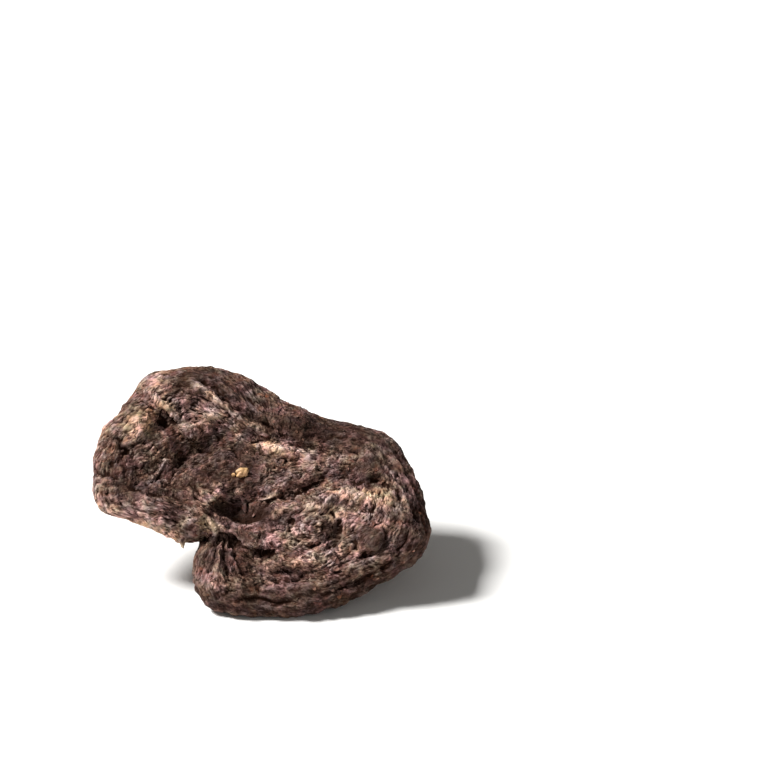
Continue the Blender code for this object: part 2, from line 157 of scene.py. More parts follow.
form = {
    "lean": math.radians(27.0),
    "fall": 0.53,
    "bowlAcross": 0.0021,
    "bowlAlong": 0.0035,
    "lift": 26.3,
    "centreX": -0.70,
    "centreY": 2.26,
    "margin": [
        (50.5, -12), (49, -5), (46.5, 2.5), (44, 7.5), (41, 13), (36, 17), (30, 18.7), (22, 20),
        (12, 23.5), (1, 29.5), (-10, 35), (-20.5, 37), (-29.5, 35.8), (-36, 34.3), (-39.5, 28.5),
        (-44.5, 22.3), (-48, 17.5), (-50.2, 10.5), (-50.4, 3.5), (-49.8, -2.5), (-46.5, -6.5), (-40, -8.2),
        (-33.5, -11.2), (-28, -13.4), (-24, -15.2), (-19, -15.2), (-19.5, -21), (-19.3, -27.5),
        (-17, -32.2), (-12, -35), (-4, -36.2), (5, -36.6), (14, -35.8), (23, -33.4), (31, -29.8),
        (39, -25), (46, -20.5),
    ],
    "roll": [
        (10.0, 0.0), (7.2, 0.06), (4.6, 0.18), (2.6, 0.34), (1.1, 0.53), (0.25, 0.72), (0.0, 0.86),
        (0.5, 0.98), (1.8, 1.05), (3.4, 1.02), (5.4, 0.91), (8.2, 0.77), (12.0, 0.66),
    ],
    "rollScale": 10,  # how much the drop counts against the inset along the roll
    "rollDepth": [
        (0, 10.5), (40, 9.0), (75, 8.0), (110, 8.0), (150, 8.0), (185, 6.5), (203, 4.6), (214, 4.8),
        (226, 8.5), (245, 11.0), (290, 12.0), (330, 12.0),
    ],
    "squeeze": (32.0, 0.6),  # the roll shrinks below this radius, down to this share
    "flesh": 6.0,
    "thinFlesh": 4.2,
    "lowerShare": 0.35,  # of the humps and folds under the cap
    "blunting": 1.4,
    "waves": [(2, 2.6, 0.7), (3, 1.9, 2.4), (5, 1.2, 0.9), (8, 0.7, 3.3)],
    "wavesFade": (-26.0, 24.0),
    # centre u and v, half-lengths, turn, height
    "humps": [
        (-24, 9, 15, 10, 20, -3.2), (-21, 11.5, 6, 4.2, 10, -2.8), (-30.5, 20, 3.4, 3, 0, -2.4),
        (-41, 11, 4.2, 3.4, 30, -2.2), (-38, 19.5, 4.2, 3.8, 20, 1.8), (-17, 0.5, 5, 3.6, -20, 1.6),
        (-6.5, -4.2, 6.4, 4.2, 12, -6.6), (8, 6.6, 11, 6, -4, 2.6), (33.5, 5.6, 9, 3.8, 22, 2.6),
        (14.5, -10, 9.5, 8.6, 0, -1.6), (14.5, -10, 5.2, 4.8, 0, 4.4), (21.5, -13.4, 3, 4.4, 20, -2.4),
        (33, -14.8, 3.8, 2.6, -35, 1.7), (1, -18.4, 3.4, 1.7, 0, -2.6), (8.6, -24, 4.6, 1.8, -8, -2),
        (-14, -23.5, 5, 8, 0, 1.8),
    ],
    # height, width and a line
    "folds": [
        (2.3, 3.2, [(-21, 31), (-16, 28), (-10, 24), (0, 19.2), (7, 17.2), (14, 14.8), (24, 12.4),
            (32, 11.5)]),
        (-1.2, 1.8, [(-13, 19), (-4, 15.8), (8, 14.4), (20, 10.6), (28, 8)]),
        (2, 1.6, [(-34, 28.5), (-27, 22), (-21, 17)]),
        (1.6, 2.6, [(-48, 2), (-38, -1.5), (-28, -5), (-20, -7)]),
        (-4.6, 2.4, [(-21.5, -15.6), (-17, -14.2)]),
        (-2.2, 2.4, [(-13.5, -13.6), (-10, -14.6), (-7, -16.6)]),
        (-1.6, 2.2, [(-6, -6), (1, -4.2), (10, -1.8), (18, 1.4), (26, 3), (36, 1.8)]),
        (2.6, 3.4, [(0, -9), (10, -5.4), (22, -2.4), (34, -2), (42, -5)]),
        (-1.1, 2, [(-2, -23), (8, -27), (18, -25.5), (27, -21), (36, -17.5), (42, -10)]),
        (1.4, 2, [(-14, -12), (-8, -13), (-3, -15), (4, -21.5), (15, -20.5), (24, -16.5)]),
        (-0.5, 1.5, [(-12, -30), (0, -32), (14, -31), (28, -26.5), (40, -19), (45.5, -10)]),
    ],
    "stalkLine": [(-5.0, -3.0, -4.0), (-6.0, -10.0, -19.0), (-3.0, -14.5, -39.0)],
    "stalkGirth": [(0.0, 10.5), (0.3, 8.8), (0.65, 9.2), (0.9, 10.2), (1.0, 9.4)],
    "footBulge": 1.2,
    "stalkMouth": 19.0,
    "mouthShare": 0.8,  # of the underside's reach, at most
    "mouthSlide": 1.6,
    "stalkNeck": 10.0,
    "stalkJoin": 0.38,
    "stalkFrom": 0.12,
    "stalkGrooves": [(7, 0.085, 0.6), (11, 0.05, 2.1), (17, 0.03, 4.4)],
    "groovesOver": 0.25,
    "stalkTwist": 2.2,
    "stalkBelow": -22.0,
    "footMiddle": (-0.4, 20.9),
    "footBack": 8.0,
    "drawnIn": 0.5,
    "drawnDepth": 2.0,
    "shares": (0.46, 0.33, 0.06, 0.12, 0.03),  # of the skin's points: face, roll, underside, stalk, foot
}


def edgeRadius(angle):
    points = np.array(form["margin"])
    return roundCurve(
        angle,
        np.mod(np.arctan2(points[:, 1], points[:, 0]), 2 * math.pi),
        np.hypot(points[:, 0], points[:, 1]),
    )


def rollDepth(angle):
    degrees, depth = zip(*form["rollDepth"])
    return roundCurve(angle, np.radians(degrees), depth)


def faceHeight(u, v, shareOfForms):
    w = form["bowlAcross"] * u * u + form["bowlAlong"] * v * v - form["fall"] * v
    angle = np.arctan2(v, u)
    rise = fade(v, *form["wavesFade"])
    outer = ease(np.hypot(u, v) / edgeRadius(angle))
    for count, height, phase in form["waves"]:
        w = w + height * rise * outer * np.cos(count * angle + phase)
    w = w + shareOfForms * marked(u, v, form["humps"])
    for height, width, line in form["folds"]:
        w = w + shareOfForms * height * np.exp(-(lineGap(u, v, line) / width) ** 2)
    return w


def stalkPoint(along, angle, girthShare):
    p0, p1, p2 = (np.array(p) for p in form["stalkLine"])
    t = along[:, None]
    axis = (1 - t) ** 2 * p0 + 2 * t * (1 - t) * p1 + t * t * p2
    heading = unit(2 * (1 - t) * (p1 - p0) + 2 * t * (p2 - p1))
    right = unit(np.cross(np.array([0.0, 1.0, 0.0]), -heading))
    up = np.cross(-heading, right)
    girth = smoothCurve(along, *zip(*form["stalkGirth"])) * girthShare
    groove = sum(
        depth * np.cos(count * angle + phase + form["stalkTwist"] * along)
        for count, depth, phase in form["stalkGrooves"]
    )
    girth = girth * (1 + groove * ease(along / form["groovesOver"]))
    c, s = np.cos(angle)[:, None], np.sin(angle)[:, None]
    return axis + girth[:, None] * (c * right + s * up), heading


def zones(directions):
    # how far each direction from the ball's middle is through the face, roll, underside, stalk and foot
    share = (1 - directions[:, 2]) / 2
    ends = np.cumsum(form["shares"])
    starts = ends - np.array(form["shares"])
    names = ("face", "roll", "under", "stalk", "foot")
    through = {n: np.clip((share - a) / (b - a), 0, 1) for n, a, b in zip(names, starts, ends)}
    through["angle"] = np.arctan2(directions[:, 1], directions[:, 0])
    return through


def skinForm(zone):
    angle = zone["angle"]
    radius, depth = edgeRadius(angle), rollDepth(angle)
    inset, drop = np.array(form["roll"]).T
    run = np.concatenate([[0], np.cumsum(np.hypot(np.diff(inset), form["rollScale"] * np.diff(drop)))])
    run /= run[-1]
    onFace, onUnder = zone["roll"] <= 0, zone["under"] > 0
    # the face, then the rolled edge, squeezed where the cap is narrow
    full, least = form["squeeze"]
    squeeze = np.clip(radius / full, least, 1.0)
    rollIn = smoothCurve(zone["roll"], run, inset) * squeeze
    rollDrop = smoothCurve(zone["roll"], run, drop) * depth
    reach = np.where(onFace, np.sqrt(zone["face"]) * (radius - inset[0] * squeeze), radius - rollIn)
    # the underside, back to the stalk's mouth
    underFrom = radius - inset[-1] * squeeze
    mouth = np.minimum(form["stalkMouth"], form["mouthShare"] * underFrom)
    reach = np.where(onUnder, underFrom + (mouth - underFrom) * zone["under"], reach)
    underDrop = drop[-1] * depth * (1 - ease(zone["under"])) + form["flesh"] * ease(zone["under"])
    fall = np.where(onUnder, underDrop, np.where(onFace, 0.0, rollDrop))
    # the mouth slides from the cap's middle to over the stalk
    s = zone["stalk"]
    neck = mouth - (form["stalkMouth"] - form["stalkNeck"]) * np.clip(s / form["stalkJoin"], 0, 1)
    reach = np.where(s > 0, neck, reach)
    shift = ease(1 - reach / form["stalkMouth"] / form["mouthSlide"]) * onUnder
    u = reach * np.cos(angle) + shift * form["stalkLine"][0][0]
    v = reach * np.sin(angle) + shift * form["stalkLine"][0][1]
    blunt = np.clip(fall / np.maximum(depth, 1.0), 0, 1)
    lower = ease(form["blunting"] * blunt)
    w = faceHeight(u, v, 1.0 - (1.0 - form["lowerShare"]) * lower) - fall
    w = np.minimum(w, faceHeight(u, v, 1.0) - np.minimum(fall, form["thinFlesh"]))
    cap = np.stack([u, v, w], axis=1)
    along = np.clip((s - form["stalkFrom"]) / (1 - form["stalkFrom"]), 0, 1)
    stalk, heading = stalkPoint(along, angle, np.sqrt(1 - zone["foot"]))
    stalk = stalk + heading * (form["footBulge"] * ease(zone["foot"]))[:, None]
    return cap + (stalk - cap) * ease(s / form["stalkJoin"])[:, None]


def turned(vectors):
    c, s = math.cos(form["lean"]), math.sin(form["lean"])
    u, v, w = vectors.T
    return np.stack([u, s * v - c * w, c * v + s * w], axis=1)


def placed(points):
    # face coordinates to the world, in metres, flat where they meet the surface
    world = turned(points) + np.array([-form["centreX"], -form["centreY"], form["lift"]])
    # the back of the stalk is cut off there along its own line, and what lay deeper is drawn in under it
    _, bend, end = (np.array(place) for place in form["stalkLine"])
    upStalk = turned((bend - end)[None])[0]
    middle = np.array(form["footMiddle"])
    below = np.maximum(-world[:, 2], 0.0) * (points[:, 2] < form["stalkBelow"])
    back = ease((world[:, 1] - middle[1]) / form["footBack"] + 0.5)
    world = world + (below * back)[:, None] * upStalk / upStalk[2]
    drawn = form["drawnIn"] * ease(below / form["drawnDepth"])
    world[:, :2] += (middle - world[:, :2]) * drawn[:, None]
    world[:, 2] = np.maximum(world[:, 2], 0.0)
    return world * mm


# the skin: the solid's wrinkles and scales again, then finer ones that the solid leaves out

relief = {
    "seed": 11,
    "wrinkles": [(11.0, 0.65), (6.0, 0.38)],  # spacing and height
    "wrinkleBend": (0.35, 1.7),  # how much, and over how many spacings
    "scales": (8.0, 0.45, 0.16),  # spacing, height, gap
    "scalesEnd": 0.6,  # how far round the edge they go
    "lean": (0.4, 0.35),  # of the scales: how they face down, and their middle height
    "under": 0.3,  # what is left of all this under the cap
    "stalk": (0.55, 0.62),  # and on the stalk, and from where on
    "upperFade": (0.5, 0.3),  # the fine relief ends here on the rolled edge
    "calm": (0.45, 0.55),  # its strength at the margin, and what is added on the face
    "calmFade": (0.1, 0.6),
    "smoothing": 0.85,  # of the smooth places
    "loose": (5.0, 1.6),  # slow pushes: spacing and amount
    "bent": (3.2, 0.8),
    "wobble": (2.6, 0.7),
    "fineScales": (2.7, 0.20, 0.16),
    "scalePatches": (9.0, 0.5, 1.2),  # spacing, middle, contrast
    "scaleShare": (0.2, 0.8),
    "swells": [(4.6, 0.15), (2.3, 0.16)],
    "swellMost": 1.8,
    # cracks and strokes are also painted in the skin's colour, with shade and a highlight
    "cracks": [(2.8, 0.22, 0.50), (1.6, 0.28, 0.34), (1.0, 0.36, 0.14)],  # spacing, thinness, depth
    "strokes": [(2.3, 0.24, 0.40), (1.35, 0.30, 0.30), (0.9, 0.36, 0.12)],
    "breaks": (3.0, 0.62, 1.3),  # in the lines: spacings, middle, contrast
    "steps": (-3, -2, -1, 0, 1, 2, 3),  # along the flow
    "reach": 0.72,  # the size of a step, in spacings
    "toneWidth": 0.9,  # of the placed lines in colour
    "pits": (2.1, 0.30),
    "pitFade": (0.25, 0.5),
    "stalkRidges": [(3.2, 0.55), (1.5, 0.30)],
    "ridgeFade": (0.4, 0.6),  # where they start, and how much the foot takes off
    "ridgeRound": (9.5, 40.0, 7.0),  # girth and length of the stalk, and how drawn out they are
    "ridgeBend": 0.2,
}

# the finest wrinkles, made in the material: drawn out in set directions and mixed by the flow
combed = {
    "directions": (0, 45, 90, 135),
    "names": ("run0", "run45", "run90", "run135", "runDown", "runFree"),
    "narrow": (0.42, 0.58),
    "free": 0.55,
    "stretch": 4.6,
    "wobble": (260.0, 0.0016),
    "waves": ((640.0, 2.0), (980.0, 1.0)),  # scale and detail of the broad ones and the thin ones
    "waveRoughness": 0.6,
    "gaps": ((340.0, 2.0), (0.42, 0.60, 0.12, 1.0)),
    "breaks": ((410.0, 2.0), (0.40, 0.58, 0.15, 1.0)),
    "widths": (0.055, 0.060),
    "heights": (2.0, 0.45, 0.55),
}

# which way the wrinkles run: place, direction in degrees, reach, how strongly
flow = [
    (-38, 20, 32, 6, 0.8), (-32, 32, 65, 5, 0.8), (-28, 26, 38, 4, 1), (-22, 34, 8, 5, 0.7),
    (-14, 28, -42, 5, 1), (-7, 23, -38, 5, 1), (1, 18.5, -26, 6, 0.9), (12, 14.5, -14, 6, 0.8),
    (24, 12, -8, 6, 0.8), (35, 12, -32, 5, 0.9), (42, 6, -62, 5, 0.9), (47, -4, -86, 5, 0.9),
    (46, -13, 72, 5, 0.9), (40, -20, 52, 6, 1), (31, -27, 32, 6, 1), (18, -32, 12, 6, 1),
    (2, -33, -2, 6, 1), (-11, -32, -22, 5, 0.9), (-17, -26, -70, 4, 0.7), (-16, -19, 68, 4, 1),
    (-10, -20, -80, 4, 1), (-5, -19, -55, 4, 1), (-1, -15, -30, 4, 0.9), (5, -25, -4, 4, 0.9),
    (-48, 10, 82, 5, 0.7), (-46, 0, -60, 5, 0.6), (-40, -5, -18, 5, 0.8), (-30, -8, -20, 5, 0.9),
    (-22, -8, -28, 5, 0.8), (-32, 5, 42, 5, 0.6), (-18, 16, 15, 5, 0.6), (-36, 8, 5, 5, 0.5),
    (30, -2, 68, 5, 0.9), (38, -3, 84, 5, 0.9), (32, 6, 28, 5, 1), (18, 3, 34, 5, 0.7), (8, 7, 10, 6, 0.3),
    (24, -8, 40, 5, 0.6), (37, -12, 60, 5, 0.7), (14, -18, 10, 5, 0.5), (24, -18, 36, 5, 0.8),
    (0, -4, 30, 5, 0.5), (-12, 4, -20, 6, 0.4),
]

# raised cords and sunken creases that stand out, as height, width and a line across the face
lines = [
    (1, 0.8, [(-33, 28.2), (-30, 25.4), (-26.4, 22.6)]),
    (-0.5, 0.6, [(-34.5, 27), (-31, 23.8), (-27.6, 21.2)]),
    (1.5, 0.9, [(-20.8, 30.4), (-16.6, 29.4), (-13.5, 26.2), (-10, 23.4), (-7.2, 21), (-3.4, 18.9),
        (0.9, 16.8)]),
    (0.6, 0.4, [(-20.6, 30.6), (-16.4, 28.8), (-12.6, 25.8), (-8.6, 23), (-5.4, 20.8), (-0.8, 18.8)]),
    (-0.7, 0.5, [(-20, 28.6), (-15.4, 26.6), (-11.6, 23.4), (-7, 20.2), (-2.6, 17.8)]),
    (-1.2, 0.8, [(-18.6, 32.2), (-15, 31), (-12, 27.8), (-8.5, 25), (-5.6, 22.6), (-1.8, 20.5),
        (2.6, 18.4)]),
    (0.6, 1, [(-14.6, 33), (-10.4, 29), (-6.4, 26), (-2, 23), (3.4, 20.2)]),
    (1.2, 1, [(-1.6, 13), (2, 12.6), (6, 12), (10.5, 10.9), (14, 10.2)]),
    (-0.5, 0.5, [(-3, 14.7), (3, 14.3), (9, 13.3), (14, 12)]),
    (-0.7, 0.6, [(-2, 10.9), (4, 10), (9, 9)]),
    (-0.7, 0.7, [(-31, 19.8), (-28.6, 21), (-23.5, 19.8), (-18.7, 20.9), (-13.5, 20.2)]),
    (0.8, 1.2, [(-23, 19), (-19.5, 19.6), (-15.5, 21.8), (-12, 23)]),
    (0.55, 0.5, [(-37.6, 0.8), (-35.4, 2), (-33.6, 3), (-31.4, 4.9), (-30.2, 6.6), (-29.6, 8.6)]),
    (-0.8, 0.8, [(-43.8, 15.5), (-42.6, 13.4), (-41.2, 11.6)]),
    (-0.8, 0.8, [(-43.2, 8), (-41, 6.8), (-37.8, 6.4)]),
    (-0.4, 0.6, [(10, -1.6), (13.4, 0.4), (16.8, 2.2), (21.5, 6.4)]),
    (0.8, 0.6, [(-0.8, -3.6), (1.8, -2.4), (4.9, -0.4)]),
    (-0.4, 0.8, [(21.6, 0.9), (26, 1.6), (30.6, 1.9), (35.8, 2.4)]),
    (0.7, 1, [(24, -0.6), (27.5, -1.2), (31, -1.6), (33.5, -2.2)]),
    (-0.8, 0.7, [(1.2, -25.6), (5, -26), (9, -26), (12.6, -25.2)]),
    (-1, 1, [(-1.8, -18.3), (0.6, -18.8), (3.2, -18.4)]),
    (-0.5, 0.8, [(5, -22.8), (8.4, -23.6), (11.6, -23.4)]),
    (-0.45, 0.5, [(-7.2, -31.6), (-3, -31), (0.6, -31.4), (4.6, -32.4), (10.4, -32.2)]),
    (-0.35, 0.6, [(-9, -29), (-4, -28.4), (2, -29.2), (8, -29.4), (15, -29.6), (25.1, -25.6),
        (34.1, -19.6)]),
    (-0.4, 0.6, [(18, -26), (26, -21.6), (33, -17.4), (38.6, -11.4), (42.6, -4.6)]),
    (-0.4, 0.6, [(36, -23.4), (41, -18), (44.6, -11), (46.6, -3)]),
    (-0.8, 0.7, [(-12.9, -13), (-15.4, -17.5), (-19, -21.4)]),
    (-0.8, 0.7, [(-12.3, -13.4), (-13.4, -18), (-14.9, -23.4)]),
    (-0.9, 0.8, [(-11.6, -13.4), (-10.6, -18), (-9.6, -24.4)]),
    (-0.8, 0.7, [(-10.8, -13.2), (-8, -18), (-4.8, -24.4)]),
    (-0.8, 0.8, [(-9.6, -12.6), (-5.6, -16), (-2.4, -19.4)]),
    (1.1, 0.7, [(-12.7, -10.9), (-10, -12.2), (-6.4, -14.2), (-3, -16.4)]),
    (0.4, 0.6, [(-24.6, -10.2), (-21.6, -8.6), (-18.4, -8.2)]),
    (1.2, 0.6, [(-16.4, -8.8), (-14.4, -10.4), (-13.6, -12.8), (-14.8, -16), (-17.4, -19.6)]),
    (0.9, 0.6, [(-17.4, -19.6), (-19, -23), (-18.6, -27)]),
    (0.7, 0.5, [(-12, -14), (-12.2, -18), (-12.6, -22.6)]),
    (0.7, 0.5, [(-11.2, -13.8), (-9.4, -17.6), (-7.2, -22)]),
    (-0.7, 0.7, [(27.6, -14.6), (28.4, -16.8), (30.6, -18.4)]),
    (-0.7, 0.8, [(20.6, -6.6), (23, -9), (23.6, -12.4), (21.8, -16.2), (17, -18)]),
    (0.6, 0.9, [(19.4, -7.4), (21.4, -10.2), (20.8, -13.6)]),
    (0.7, 0.6, [(26.8, -22), (28.4, -19.4), (29.8, -17)]),
    (-0.8, 0.7, [(36.6, -11.2), (37.4, -14.2), (35.8, -17.4), (31.4, -18.8)]),
    (-0.7, 0.7, [(10, -16), (8.2, -12), (9.2, -7.6), (12.6, -4.8)]),
    (-1.3, 1.3, [(-13.4, -4.6), (-10.4, -7), (-5.6, -8.4), (-1, -7.4)]),
    (0.7, 0.8, [(-14, -0.6), (-11.2, -2.6), (-8.4, -1.2), (-5.4, 0.4)]),
    (0.7, 0.7, [(-29, -12), (-25.4, -13.4), (-23, -14.6)]),
    (-0.6, 0.5, [(-8.6, 14), (-8.9, 11.6), (-7.6, 9.8)]),
    (0.5, 0.6, [(-8.2, 13.6), (-6.4, 14.4), (-4.4, 14), (-3.2, 12.4)]),
    (-0.5, 0.6, [(-14.2, 18), (-13.6, 14.6), (-14, 11.4)]),
    (-0.5, 0.5, [(-17.4, 9.4), (-19.8, 8.6), (-22.6, 8.8)]),
    (0.5, 0.5, [(-12.2, 7.8), (-10, 8.2), (-8.6, 7.6)]),
    (-0.5, 0.5, [(-16.6, 4.6), (-14.2, 5.4), (-12, 4.4)]),
    (0.4, 0.5, [(-19.6, 2.4), (-17.2, 0.2), (-15.6, -1.6)]),
    (-0.5, 0.5, [(-21.4, 1.6), (-19.2, -1), (-17.6, -3.4)]),
    (-0.6, 0.5, [(5.4, 9), (7.8, 9.7), (9.2, 9)]),
    (-0.5, 0.5, [(5.6, 4.4), (7.2, 5.6), (8.2, 7.4)]),
    (-0.5, 0.5, [(20.4, 12.4), (24, 11.2), (28.6, 10.6)]),
    (0.4, 0.5, [(13.4, 14.6), (18, 13.4), (23, 12.6)]),
    (-0.6, 0.5, [(-49.2, 5.2), (-46.4, 4.6), (-43, 4.4)]),
    (-0.6, 0.5, [(-49.6, 2.6), (-46.2, 1.8), (-42.6, 1.8)]),
    (-0.6, 0.5, [(-49, -0.2), (-45.4, -0.8), (-41.8, -0.4)]),
    (-0.5, 0.5, [(-47.4, -3), (-44, -2.8), (-41, -2.4)]),
    (-0.5, 0.5, [(-48.8, 9), (-46, 8.4), (-43.4, 8.6)]),
    (0.4, 0.4, [(-49.2, 3.8), (-45.6, 3.2), (-42.8, 3)]),
    (0.4, 0.4, [(-48.8, 1.2), (-45, 0.6), (-42, 0.8)]),
]

# pleats: rings as centre, inner and outer reach, spacing and height, and ribs as centre, half-lengths,
# tilt, spacing and height
pleats = {
    "ring": [((15.6, -10.8), 1, 7.6, 2.1, 0.36)],
    "ribs": [
        ((-28.6, 27.2), 3.0, 2.4, 36, 1.7, 0.22), ((32.0, -1.6), 10.0, 3.0, 74, 2.1, 0.30),
        ((31.6, 5.4), 5.0, 3.4, 28, 1.5, 0.16),
    ],
    "cords": (2.9, 0.34, 10.5, -2.2, 0.5),  # spacing, height, how far in from the margin, two angles
    "bends": (4.0, 0.4, 0.8, 0.45),  # spacing, then how much each kind bends
    "fades": (2, 4, 0.3),  # of the rings outwards, of the cords inwards and at their ends
}

# places that stay smooth
smoothSpots = [
    (33, -14.4, 4.4, 3.2, -35, 1), (31.4, 5.6, 5.4, 3, 25, 0.6), (7.8, -24.2, 4.6, 1.8, -8, 0.6),
    (2, -33, 28, 4.4, 2, 0.9), (-28, 18, 5, 2.4, 10, 0.6),
]

# small pits and knobs: place, size, depth
pits = [
    (10, -9.3, 0.9, 0.9), (14.6, -9.8, 1.2, 0.9), (1.2, -18.3, 2.4, 1.1), (-2.6, -7.6, 2, 0.9),
    (-11.6, -3.4, 2, 0.5), (-5.8, -4, 2.4, -2.6), (33.2, -14, 3.2, -1.3), (16.6, -8.8, 0.9, 0.7),
    (-24.2, 8.4, 1.6, 0.8), (-24.6, 8.2, 2.4, 1.2), (-19, 11, 2, 1), (-31, 22.6, 1.8, 0.9),
    (-22.6, 30.6, 1.4, 0.7), (7.4, 9.2, 0.8, 0.8), (4, 7, 0.7, 0.6), (-9, -14, 2.6, 1),
]


flowMix = {"loose": 0.1, "gain": 1.5, "stalkFade": 0.3, "downStalk": (0.0, -0.2, 0.98)}


def flowAt(points, normals, zone):
    # the direction of the wrinkles at each point, along the skin, and how strongly they follow it
    u, v = points[:, 0], points[:, 1]
    c, s, total = np.zeros(len(u)), np.zeros(len(u)), np.full(len(u), flowMix["loose"])
    for cu, cv, degrees, reach, strength in flow:
        weight = np.exp(-((u - cu) ** 2 + (v - cv) ** 2) / reach ** 2)
        c += strength * weight * math.cos(2 * math.radians(degrees))
        s += strength * weight * math.sin(2 * math.radians(degrees))
        total += weight
    turn = 0.5 * np.arctan2(s, c)
    along = np.stack([np.cos(turn), np.sin(turn), np.zeros(len(u))], axis=1)
    along = unit(along - normals * (along * normals).sum(axis=1)[:, None])
    along *= np.clip(flowMix["gain"] * np.hypot(c, s) / total, 0, 1)[:, None]
    onStalk = ease(zone["stalk"] / flowMix["stalkFade"])[:, None]
    return along * (1 - onStalk) + np.array([flowMix["downStalk"]]) * onStalk


def flowShares(along):
    # how far the flow runs in each of four directions across the face, and down the stalk
    turn = np.arctan2(along[:, 1], along[:, 0])
    level = np.hypot(along[:, 0], along[:, 1])
    least, most = combed["narrow"]
    shares = [
        level * np.maximum(np.cos(turn - math.radians(d)) ** 2 - least, 0) / most
        for d in combed["directions"]
    ]
    shares.append(np.abs(along[:, 2]))
    rest = np.maximum(combed["free"] - sum(shares), 0)
    spread = np.sqrt(sum(share ** 2 for share in shares) + rest ** 2)
    return [share / spread for share in shares + [rest]]


def drawnOut(points, along, spacing, seed):
    # noise drawn out along the flow, with a spread of one
    total = np.zeros(len(points))
    for step in relief["steps"]:
        total += gradientNoise((points + along * step * relief["reach"] * spacing) / spacing, seed)
    return total / total.std()


def thinLines(points, along, kinds, seed):
    # broken thin lines along the flow, as an amount for colour, which the skin paints with shade in the
    # cracks and a highlight on the strokes, and as a height
    amount, height = np.zeros(len(points)), np.zeros(len(points))
    over, middle, contrast = relief["breaks"]
    for number, (spacing, thin, tall) in enumerate(kinds):
        line = np.exp(-(drawnOut(points, along, spacing, seed + number) / thin) ** 2)
        line *= ease(middle + contrast * gradientNoise(points / spacing / over, seed + 5 + number))
        amount = np.maximum(amount, line)
        height += tall * line
    return amount, height


def wobbled(points):
    spacing, amount = relief["wobble"]
    u = points[:, 0] + amount * gradientNoise(points / spacing, 311)
    v = points[:, 1] + amount * gradientNoise(points / spacing, 312)
    return u, v


def lineRelief(points):
    u, v = wobbled(points)
    total = np.zeros(len(points))
    for height, width, line in lines:
        total += height * np.exp(-(lineGap(u, v, line) / width) ** 2)
    for cu, cv, size, depth in pits:
        total -= depth * np.exp(-(np.hypot(u - cu, v - cv) / size) ** 2)
    return total


def lineTones(points):
    # the raised lines and the sunk ones again, as two amounts for colour: painted highlight along the raised
    # ones, painted shade along the sunk ones
    u, v = wobbled(points)
    raised, sunk = np.zeros(len(points)), np.zeros(len(points))
    for height, width, line in lines:
        near = min(abs(height), 1.0) * np.exp(-(lineGap(u, v, line) / width / relief["toneWidth"]) ** 2)
        if height > 0:
            raised = np.maximum(raised, near)
        else:
            sunk = np.maximum(sunk, near)
    return raised, sunk


def pleatRelief(points):
    u, v = points[:, 0], points[:, 1]
    slow, ringBend, ribBend, cordBend = pleats["bends"]
    ringFade, cordFade, endFade = pleats["fades"]
    bend = gradientNoise(points / slow, 301)
    total = np.zeros(len(points))
    for (cu, cv), near, far, spacing, height in pleats["ring"]:
        away = np.hypot(u - cu, v - cv)
        mask = ease(away - near + 1) * ease((far - away) / ringFade)
        swirl = np.arctan2(v - cv, u - cu) / (2 * math.pi)
        total += height * mask * np.cos(2 * math.pi * (away / spacing + swirl + ringBend * bend))
    for (cu, cv), along, across, tilt, spacing, height in pleats["ribs"]:
        c, s = turnOf(tilt)
        over = (v - cv) * c - (u - cu) * s
        mask = np.exp(-((u - cu) / along) ** 2 - ((v - cv) / across) ** 2)
        total += height * mask * np.cos(2 * math.pi * (over / spacing + ribBend * bend))
    spacing, height, inset, first, last = pleats["cords"]
    angle = np.arctan2(v, u)
    away = edgeRadius(angle) - np.hypot(u, v)
    mask = ease((inset - away) / cordFade) * fade(angle, first, endFade) * ease((last - angle) / endFade)
    total += height * mask * (1 - 2 * np.abs(np.sin(math.pi * (away / spacing + cordBend * bend))))
    return total


def outwardOf(points):
    reach = np.hypot(points[:, 0], points[:, 1])
    return unit(np.stack([points[:, 0], points[:, 1], -relief["lean"][0] * reach], axis=1))


def scaleRelief(points, at, spacing, gap, seed):
    offset, edge = nearestSeeds(at / spacing, seed)
    return ((offset * outwardOf(points)).sum(axis=1) + relief["lean"][1]) * ease(edge / gap)


def coarseRelief(points, zone):
    seed = relief["seed"]
    height = np.zeros(len(points))
    amount, over = relief["wrinkleBend"]
    for number, (spacing, depth) in enumerate(relief["wrinkles"]):
        bend = amount * gradientNoise(points / spacing / over, seed + 20 + number)
        ridged = 1 - 2 * np.abs(gradientNoise(points / spacing + bend[:, None], seed + number))
        height += depth * ridged
    spacing, depth, gap = relief["scales"]
    scales = scaleRelief(points, points, spacing, gap, seed + 40)
    height += depth * scales * (zone["roll"] < relief["scalesEnd"])
    underCap = 1 - (1 - relief["under"]) * ease(zone["roll"])
    share, over = relief["stalk"]
    onStalk = share * ease(zone["stalk"] / over)
    return height * np.maximum(underCap, onStalk)


